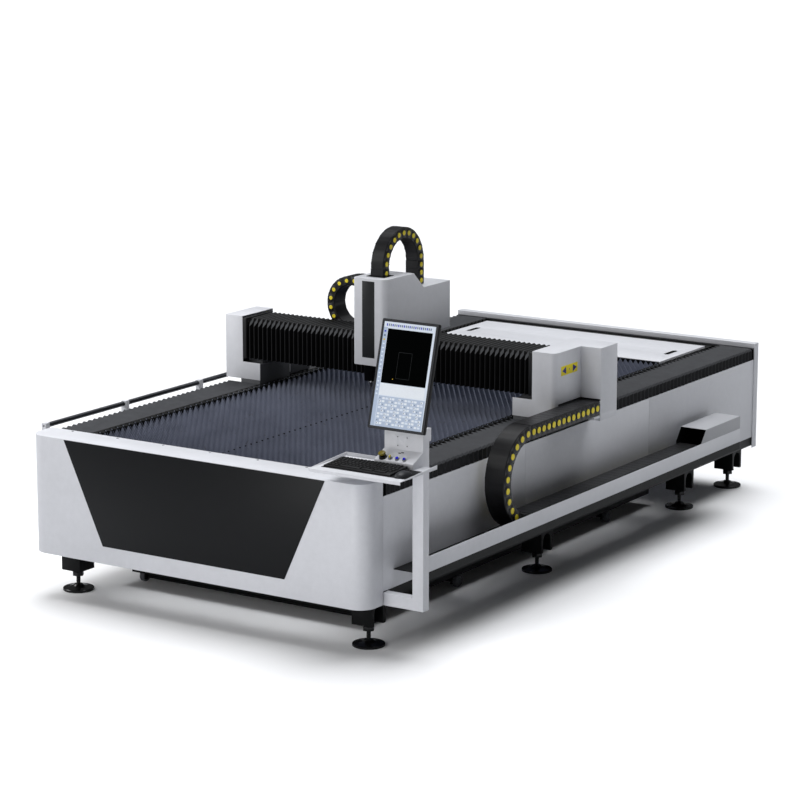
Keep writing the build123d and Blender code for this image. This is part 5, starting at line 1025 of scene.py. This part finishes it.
class LASER_OT_console(bpy.types.Operator):
    """Make the keyboard, mouse, mat, switches and trim of the operator's console"""

    bl_idname = "laser.console"
    bl_label = "Console"

    def execute(self, context):
        self.keyboard()
        self.mouse()
        self.switches()
        return {"FINISHED"}

    def keyboard(self):
        """The keyboard's body, six rows of keys and the three long keys of the front row."""
        rows = row_tree()
        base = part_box("keyboard")[0]
        wide, deep, _ = spans("keyboard")
        slope = math.atan2(10, 148)
        right, back = Vector((1, 0, 0)), Vector((0, math.cos(slope), math.sin(slope)))
        normal = right.cross(back)
        bm = bmesh.new()
        section = [(0, 2), (3, 0), (deep - 3, 0), (deep, 2), (deep, 17), (deep - 6, 19), (6, 9.5), (0, 8)]
        prism(bm, section, axes(base, (0, 1, 0), (0, 0, 1)), wide, 0, 1.5)
        half, taper, key_step, row_step, front_row, level = 8.4, 0.86, 19.4, 22.5, 18, 8.5
        key = bmesh.new()
        slab(key, (mm(-half), mm(-half), 0), (mm(half), mm(half), mm(6)), 0, 1.2, 1)
        for v in key.verts:
            if v.co.z > mm(4):
                v.co.x *= taper
                v.co.y *= taper
        key = shape_mesh(key)
        turn = tuple(Matrix((right, back, normal)).transposed().to_euler())

        def spot(u, row=0):
            """A point of the sloping deck, given by its distance from the left and its row."""
            return base + right * mm(u) + back * mm(front_row + row_step * row) + normal * mm(level)

        for row, (start, count) in enumerate(((14, 3), (14, 17), (16, 17), (19, 17), (14, 17), (14, 17))):
            keys = grown(rows, key, "key_cap_abs", Count=count, Place=tuple(spot(start + 8, row)), Turn=turn,
                         Step=(mm(key_step), 0.0, 0.0))
            gather(bm, keys, 1)
        for u, length in ((76, 112), (196, 60), (264, 60)):
            prism(bm, [(0, -8), (length, -8), (length, 8), (0, 8)], axes(spot(u), right, back), 5.5, 1, 1.0)
        piece("keyboard_with_keys", bm, ["black_abs", "key_cap_abs"], "bed", ("keyboard",))

    def mouse(self):
        """The mouse, as a waisted half egg with a wheel, and the mat under it and the keyboard."""
        low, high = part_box("mouse")
        middle = Vector(((low[0] + high[0]) / 2, (low[1] + high[1]) / 2, low[2]))
        half = Vector(((high[0] - low[0]) / 2, (high[1] - low[1]) / 2, high[2] - low[2]))
        bm = bmesh.new()
        bmesh.ops.create_uvsphere(bm, u_segments=32, v_segments=18, radius=1)
        for v in bm.verts:
            x, y, z = v.co
            pinch, rise = 1 - 0.12 * math.cos(math.pi * y), 0.86 - 0.14 * y
            v.co = middle + Vector((x * half.x * pinch, y * half.y, max(0.0, z) * half.z * rise))
        bmesh.ops.remove_doubles(bm, verts=bm.verts, dist=1e-6)
        near, far = Vector((-mm(3), mm(18), half.z * 0.62)), Vector((mm(3), mm(34), half.z * 0.86))
        slab(bm, middle + near, middle + far, 1, 1.5)
        piece("mouse_shell", bm, ["grey_abs", "key_cap_abs"], "bed", ("mouse",))

        left, front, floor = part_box("keyboard")[0]
        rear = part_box("control_panel")[0][1] - mm(2)
        bm = bmesh.new()
        slab(bm, (left - mm(10), front - mm(8), floor), (high[0] + mm(12), rear, floor + mm(1.2)), 0, 0.5)
        piece("tray_mat", bm, ["tray_mat_rubber"], "bed")

    def switches(self):
        """The switches on the panel's slope, and the dark slots and holes beside them."""
        low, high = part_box("control_panel")
        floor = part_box("keyboard")[0][2]
        rise, run = 38, 84
        tilt = math.atan2(rise, run)
        right, up = Vector((1, 0, 0)), Vector((0, math.cos(tilt), math.sin(tilt)))
        middle = Vector((low[0], low[1], floor + mm(26))) + up * mm(math.hypot(rise, run) / 2)

        def switch(inset):
            """The plane of a switch, at an inset from the panel's left."""
            return axes(middle + right * mm(inset) - up * mm(26), right, up)

        stop, key = switch(35), switch(75)
        pushes = (("left", switch(112)), ("right", switch(150)))
        bm = bmesh.new()
        bore = 11.2
        collar = [(bore, 0), (19, 0), (19, 2.5), (17.5, 4), (17.5, 9), (16.5, 10), (bore, 10), (bore, 0)]
        turned(bm, collar, stop)
        bore = 7.2
        turned(bm, [(bore, 0), (10, 0), (10, 6), (9, 8), (bore, 8), (bore, 0)], key, 1)
        for _, place in pushes:
            turned(bm, [(bore, 0), (10, 0), (10, 5.5), (8.8, 8), (bore, 8), (bore, 0)], place, 1)
        piece("switch_rings", bm, ["black_abs", "zinc_plated_steel"], "bed", ("switch_collars",))

        bm = bmesh.new()
        turned(bm, [(0, 6), (11, 6), (11, 20.5), (0, 20.5)], stop, 1, 32)
        cap = [(0, 19.5), (15.5, 19.5), (17, 21), (17, 26), (15.5, 28.5), (12, 30), (0, 30)]
        turned(bm, cap, stop, 0, 48)
        ribs, rim = 16, mm(16.7)
        for i in range(ribs):
            angle = 2 * math.pi * i / ribs
            place = stop @ Matrix.Translation((rim * math.cos(angle), rim * math.sin(angle), mm(20.8)))
            turned(bm, [(0, 0), (1.1, 0.3), (1.1, 4.9), (0, 5.4)], place, 0, 8)
        piece("stop_button_cap", bm, ["stop_cap_plastic", "black_abs"], "estop", ("estop_button",))

        bm = bmesh.new()
        turned(bm, [(0, 0), (7, 0), (7, 7), (6, 9), (0, 9)], key)
        prism(bm, block(1.5, 6), key @ Matrix.Translation((0, 0, mm(9))), 9.0, 1, 0.6)
        piece("key_switch_barrel", bm, ["zinc_plated_steel", "chain_cap_plastic"], "key", ("key_switch",))
        for hand, place in pushes:
            node = f"push_button_{hand}"
            bm = bmesh.new()
            turned(bm, [(0, 4), (7, 4), (7, 11), (6, 12.6), (4, 13), (0, 13)], place)
            piece(f"{node}_cap", bm, ["push_cap_plastic"], f"push_{hand}", (node,))

        bm = bmesh.new()
        for u, v in ((97, 20), (109, 26)):
            prism(bm, stadium(16, 6, 4), axes(middle + right * mm(u) + up * mm(v), right, up), 0.8, 0, 0.2)
        for x in (71, 121):
            for z in (82, 122):
                place = axes((low[0] + mm(x), high[1] - mm(0.3), floor + mm(z)), (1, 0, 0), (0, 0, 1))
                turned(bm, [(0, 0), (3.1, 0), (3.1, 0.9), (0, 0.9)], place, 0, 16)
        piece("console_slots", bm, ["black_abs"], "bed")


class LASER_OT_trim(bpy.types.Operator):
    """Make the head's strip, the seal round the chain's port, a black strip at the gantry chain's end, the
    travel marker, the cover's bolts, the skirt and the end plates
    """

    bl_idname = "laser.trim"
    bl_label = "Trim and fasteners"

    def execute(self, context):
        self.head_trim()
        self.right_end_trim()
        self.beam_trim()
        return {"FINISHED"}

    def head_trim(self):
        """The dark strip on the head's front and the seal round the chain's port."""
        low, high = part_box("head_cover")
        left, near, far = low[0], low[1] - mm(1.6), low[1] + mm(0.2)
        bm = bmesh.new()
        slab(bm, (left + mm(54), near, low[2] + mm(40)), (left + mm(128), far, high[2] - mm(14)), 0, 0.8)
        piece("head_strip", bm, ["strip_black_enamel"], "carriage")

        chain_low, chain_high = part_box("lift_chain")
        margin, depth = mm(14), mm(74)
        left, near = chain_low[0] - margin, chain_low[1] - margin
        wide, deep = chain_high[0] + margin - left, chain_low[1] + depth - near
        bm = bmesh.new()
        for u0, v0, u1, v1 in ((0, 0, 1, 0.12), (0, 0.88, 1, 1), (0, 0.12, 0.1, 0.88), (0.9, 0.12, 1, 0.88)):
            slab(bm, (left + wide * u0, near + deep * v0, high[2]),
                 (left + wide * u1, near + deep * v1, high[2] + mm(3)), 0, 0.8)
        piece("chain_port_seal", bm, ["tray_mat_rubber"], "carriage")

    def right_end_trim(self):
        """The travel marker, the front cover's bolts, and the skirt and a black strip at the gantry chain's
        end.
        """
        face, film = at(1024, 0, 0).x, 1.2
        place = axes(Vector((face, at(0, 63, 0).y, mm(1060))), (0, 1, 0), (0, 0, 1))
        raised = place @ Matrix.Translation((0, 0, mm(film)))
        bm = bmesh.new()
        prism(bm, block(82, 24), place, film, 0, 0.3)
        for side in (-1, 1):
            wedge = [(side * 72, 0), (side * 34, -19), (side * 34, 19)]
            prism(bm, wedge[::side], raised, 0.5, 1)
        prism(bm, stadium(7, 7), raised, 0.5, 1)
        piece("travel_marker", bm, ["marker_yellow_film", "marker_blue_film"], "gantry")

        bolt = bmesh.new()
        button = [(0, 0), (6, 0), (6, 2.2), (4.6, 3.4), (2.6, 3.4), (2.2, 2.2), (0, 2.2)]
        turned(bolt, button, Matrix(), 0, 12)
        low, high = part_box("front_cover")
        count, margin = 7, mm(150)
        step = (high[0] - low[0] - 2 * margin) / (count - 1)
        bolts = grown(row_tree(), shape_mesh(bolt), "zinc_plated_steel", Count=count, Step=(step, 0.0, 0.0),
                      Place=(low[0] + margin, high[1] - mm(22), high[2]))
        piece("cover_bolts", bolts, [], "bed")

        low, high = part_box("right_end_cover")
        chain_low, chain_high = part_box("gantry_chain_upper_run")
        step, inner = chain_high[1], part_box("right_side_panel")[1][0] + mm(4)
        bottom, top, sheet = low[2] - mm(35), low[2] + mm(1), mm(2.5)
        bm = bmesh.new()
        slab(bm, (high[0] - sheet, step, bottom), (high[0], high[1], top), 0, 0.8)
        for y in (step, high[1] - sheet):
            slab(bm, (inner, y, bottom), (high[0] - sheet, y + sheet, top), 0, 0.8)
        shelf = chain_low[2] - mm(14), chain_low[2] - mm(1)
        slab(bm, (chain_low[0], step - mm(60), shelf[0]), (chain_high[0], step, shelf[1]), 0, 1.0)
        piece("end_cover_skirt", bm, ["light_grey_powder_coat"], "gantry")
        # A black strip along the cover's lower edge above the chain, and across where the chain meets the
        # cover.
        seal, width = chain_high[2] + mm(1), mm(5)
        bm = bmesh.new()
        slab(bm, (face, low[1] + mm(30), seal), (face + width, step, seal + mm(6)), 0, 1.0)
        slab(bm, (face, step - width, seal), (high[0], step, seal + mm(6)), 0, 1.0)
        piece("chain_end_seal", bm, ["tray_mat_rubber"], "gantry")

    def beam_trim(self):
        """The left saddle's tail, the plates at the outer ends of the beam's folds, and a black sheet under
        the rear plate, painted shade in its gaps.
        """
        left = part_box("gantry_saddles")[0][0]
        foot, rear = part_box("rail_bellows_rear_left")[1][2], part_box("left_end_cover")[1][1]
        bm = bmesh.new()
        slab(bm, (left, rear - mm(4), foot + mm(4)), (left + mm(124), rear + mm(185), foot + mm(100)), 0, 1.5)
        piece("left_saddle_tail", bm, ["saddle_grey_enamel"], "gantry")

        width, front, proud = mm(22), mm(30), mm(2)
        bm = bmesh.new()
        for hand in ("left", "right"):
            low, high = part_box(f"beam_bellows_{hand}")
            start = low[0] if hand == "left" else high[0] - width
            end, crown, bend = start + width, high[2] + proud, low[1] + front
            slab(bm, (start, low[1] - proud, low[2] - proud), (end, bend, crown), 0, 1.0)
            slab(bm, (start, bend, high[2] - mm(6)), (end, high[1], crown), 0, 1.0)
        piece("beam_fold_end_plates", bm, ["black_abs"], "gantry")

        # A black sheet under the rear plate that shows in the gaps round it: painted shade.
        low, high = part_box("rear_cover_plate")
        rear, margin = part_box("rear_cover")[0][1], mm(10)
        bottom, top = high[2] - mm(14), high[2] - mm(11)
        bm = bmesh.new()
        slab(bm, (low[0] - margin, low[1], bottom), (high[0] + margin, rear, top), 0, 0.5)
        piece("rear_plate_underlay", bm, ["frame_black_enamel"], "bed")


def lamp(name, kind, energy, towards, place=(0, 0, 5), **settings):
    """A lamp that shines from a direction and isn't seen itself."""
    data = bpy.data.lights.new(name, kind)
    data.energy = energy
    for key, value in settings.items():
        setattr(data, key, value)
    obj = bpy.data.objects.new(name, data)
    obj.location = place
    obj.rotation_euler = Vector(towards).to_track_quat("Z", "Y").to_euler()
    obj.visible_camera = False
    bpy.context.scene.collection.objects.link(obj)


class LASER_OT_stage(bpy.types.Operator):
    """Set the pale floor, the soft light and the camera"""

    bl_idname = "laser.stage"
    bl_label = "Stage"

    def execute(self, context):
        scene = context.scene
        bm = bmesh.new()
        bmesh.ops.create_grid(bm, x_segments=1, y_segments=1, size=60)
        floor = piece("studio_floor", bm, ["studio_floor_paint"])
        world = bpy.data.worlds.new("soft_studio")
        world.use_nodes = True
        tree = world.node_tree
        tree.nodes.clear()
        ray = add(tree, "ShaderNodeTexCoord").outputs["Generated"]
        height = add(tree, "ShaderNodeSeparateXYZ", {0: ray}).outputs[2]
        dome = {"Value": height, "From Min": -0.1, "From Max": 0.9, "To Min": 0.0, "To Max": 0.21}
        level = add(tree, "ShaderNodeMapRange", dome).outputs[0]
        sky = add(tree, "ShaderNodeBackground", {"Color": (0.96, 0.98, 1.0, 1.0), "Strength": level})
        backdrop = add(tree, "ShaderNodeBackground", {"Color": (1.0, 1.0, 1.0, 1.0), "Strength": 1.0})
        direct = add(tree, "ShaderNodeLightPath").outputs["Is Camera Ray"]
        seen = add(tree, "ShaderNodeMixShader", {0: direct, 1: sky.outputs[0], 2: backdrop.outputs[0]})
        add(tree, "ShaderNodeOutputWorld", {"Surface": seen.outputs[0]})
        scene.world = world
        scene.view_settings.view_transform = "Standard"

        cool, wide, soft = (0.97, 0.983, 1.0), math.radians(50), math.radians(35)
        lamp("overhead_key", "SUN", 3.4, (-0.01, 0.3, 1.0), angle=wide, color=cool)
        lamp("front_fill", "SUN", 0.65, (-0.3, -1.0, 0.7), angle=soft)
        lamp("front_softbox", "AREA", 44, (0.2, -3.1, 0.2), at(500, -4800, 700), size=2.0)
        lamp("left_softbox", "AREA", 40, (-1.7, -1.8, 1.3), at(-2600, -1800, 2200), size=1.4)

        # The photograph's focal length and width in pixels, and its camera's angles in degrees.
        focal_pixels, width_pixels = 2823, 800
        pitch_down, swing_right = 12.05, 33.158
        data = bpy.data.cameras.new("photo_camera")
        data.sensor_width = 36
        data.lens = data.sensor_width * focal_pixels / width_pixels
        data.shift_x, data.shift_y = 0.0121, -0.0013
        data.clip_end = 200
        camera = bpy.data.objects.new("photo_camera", data)
        camera.location = at(7829.2, -11985.7, 3854.4)
        camera.rotation_euler = (math.radians(90 - pitch_down), 0, math.radians(swing_right))
        scene.collection.objects.link(camera)
        scene.camera = camera
        return {"FINISHED"}


class LASER_PT_panel(bpy.types.Panel):
    """Lists the steps and sizes of the machine"""

    bl_label = "Laser cutter"
    bl_idname = "LASER_PT_panel"
    bl_space_type = "VIEW_3D"
    bl_region_type = "UI"
    bl_category = "Laser cutter"

    def draw(self, context):
        for group in (context.scene.laser_sizes, context.scene.laser_finishes):
            for key in group.__annotations__:
                self.layout.prop(group, key)
        for step in STEPS:
            self.layout.operator(step.bl_idname)


STEPS = (LASER_OT_finishes, LASER_OT_stage, LASER_OT_covers, LASER_OT_table, LASER_OT_rail_covers,
         LASER_OT_beam_covers, LASER_OT_chains, LASER_OT_turned_parts, LASER_OT_monitor, LASER_OT_console,
         LASER_OT_trim)
CLASSES = (LASER_PG_finishes, LASER_PG_sizes, *STEPS, LASER_PT_panel)


def register():
    for cls in CLASSES:
        bpy.utils.register_class(cls)
    bpy.types.Scene.laser_finishes = PointerProperty(type=LASER_PG_finishes)
    bpy.types.Scene.laser_sizes = PointerProperty(type=LASER_PG_sizes)


def unregister():
    del bpy.types.Scene.laser_sizes
    del bpy.types.Scene.laser_finishes
    for cls in reversed(CLASSES):
        bpy.utils.unregister_class(cls)


def main():
    register()
    for step in STEPS:
        family, name = step.bl_idname.split(".")
        getattr(getattr(bpy.ops, family), name)()


if __name__ == "__main__":
    main()
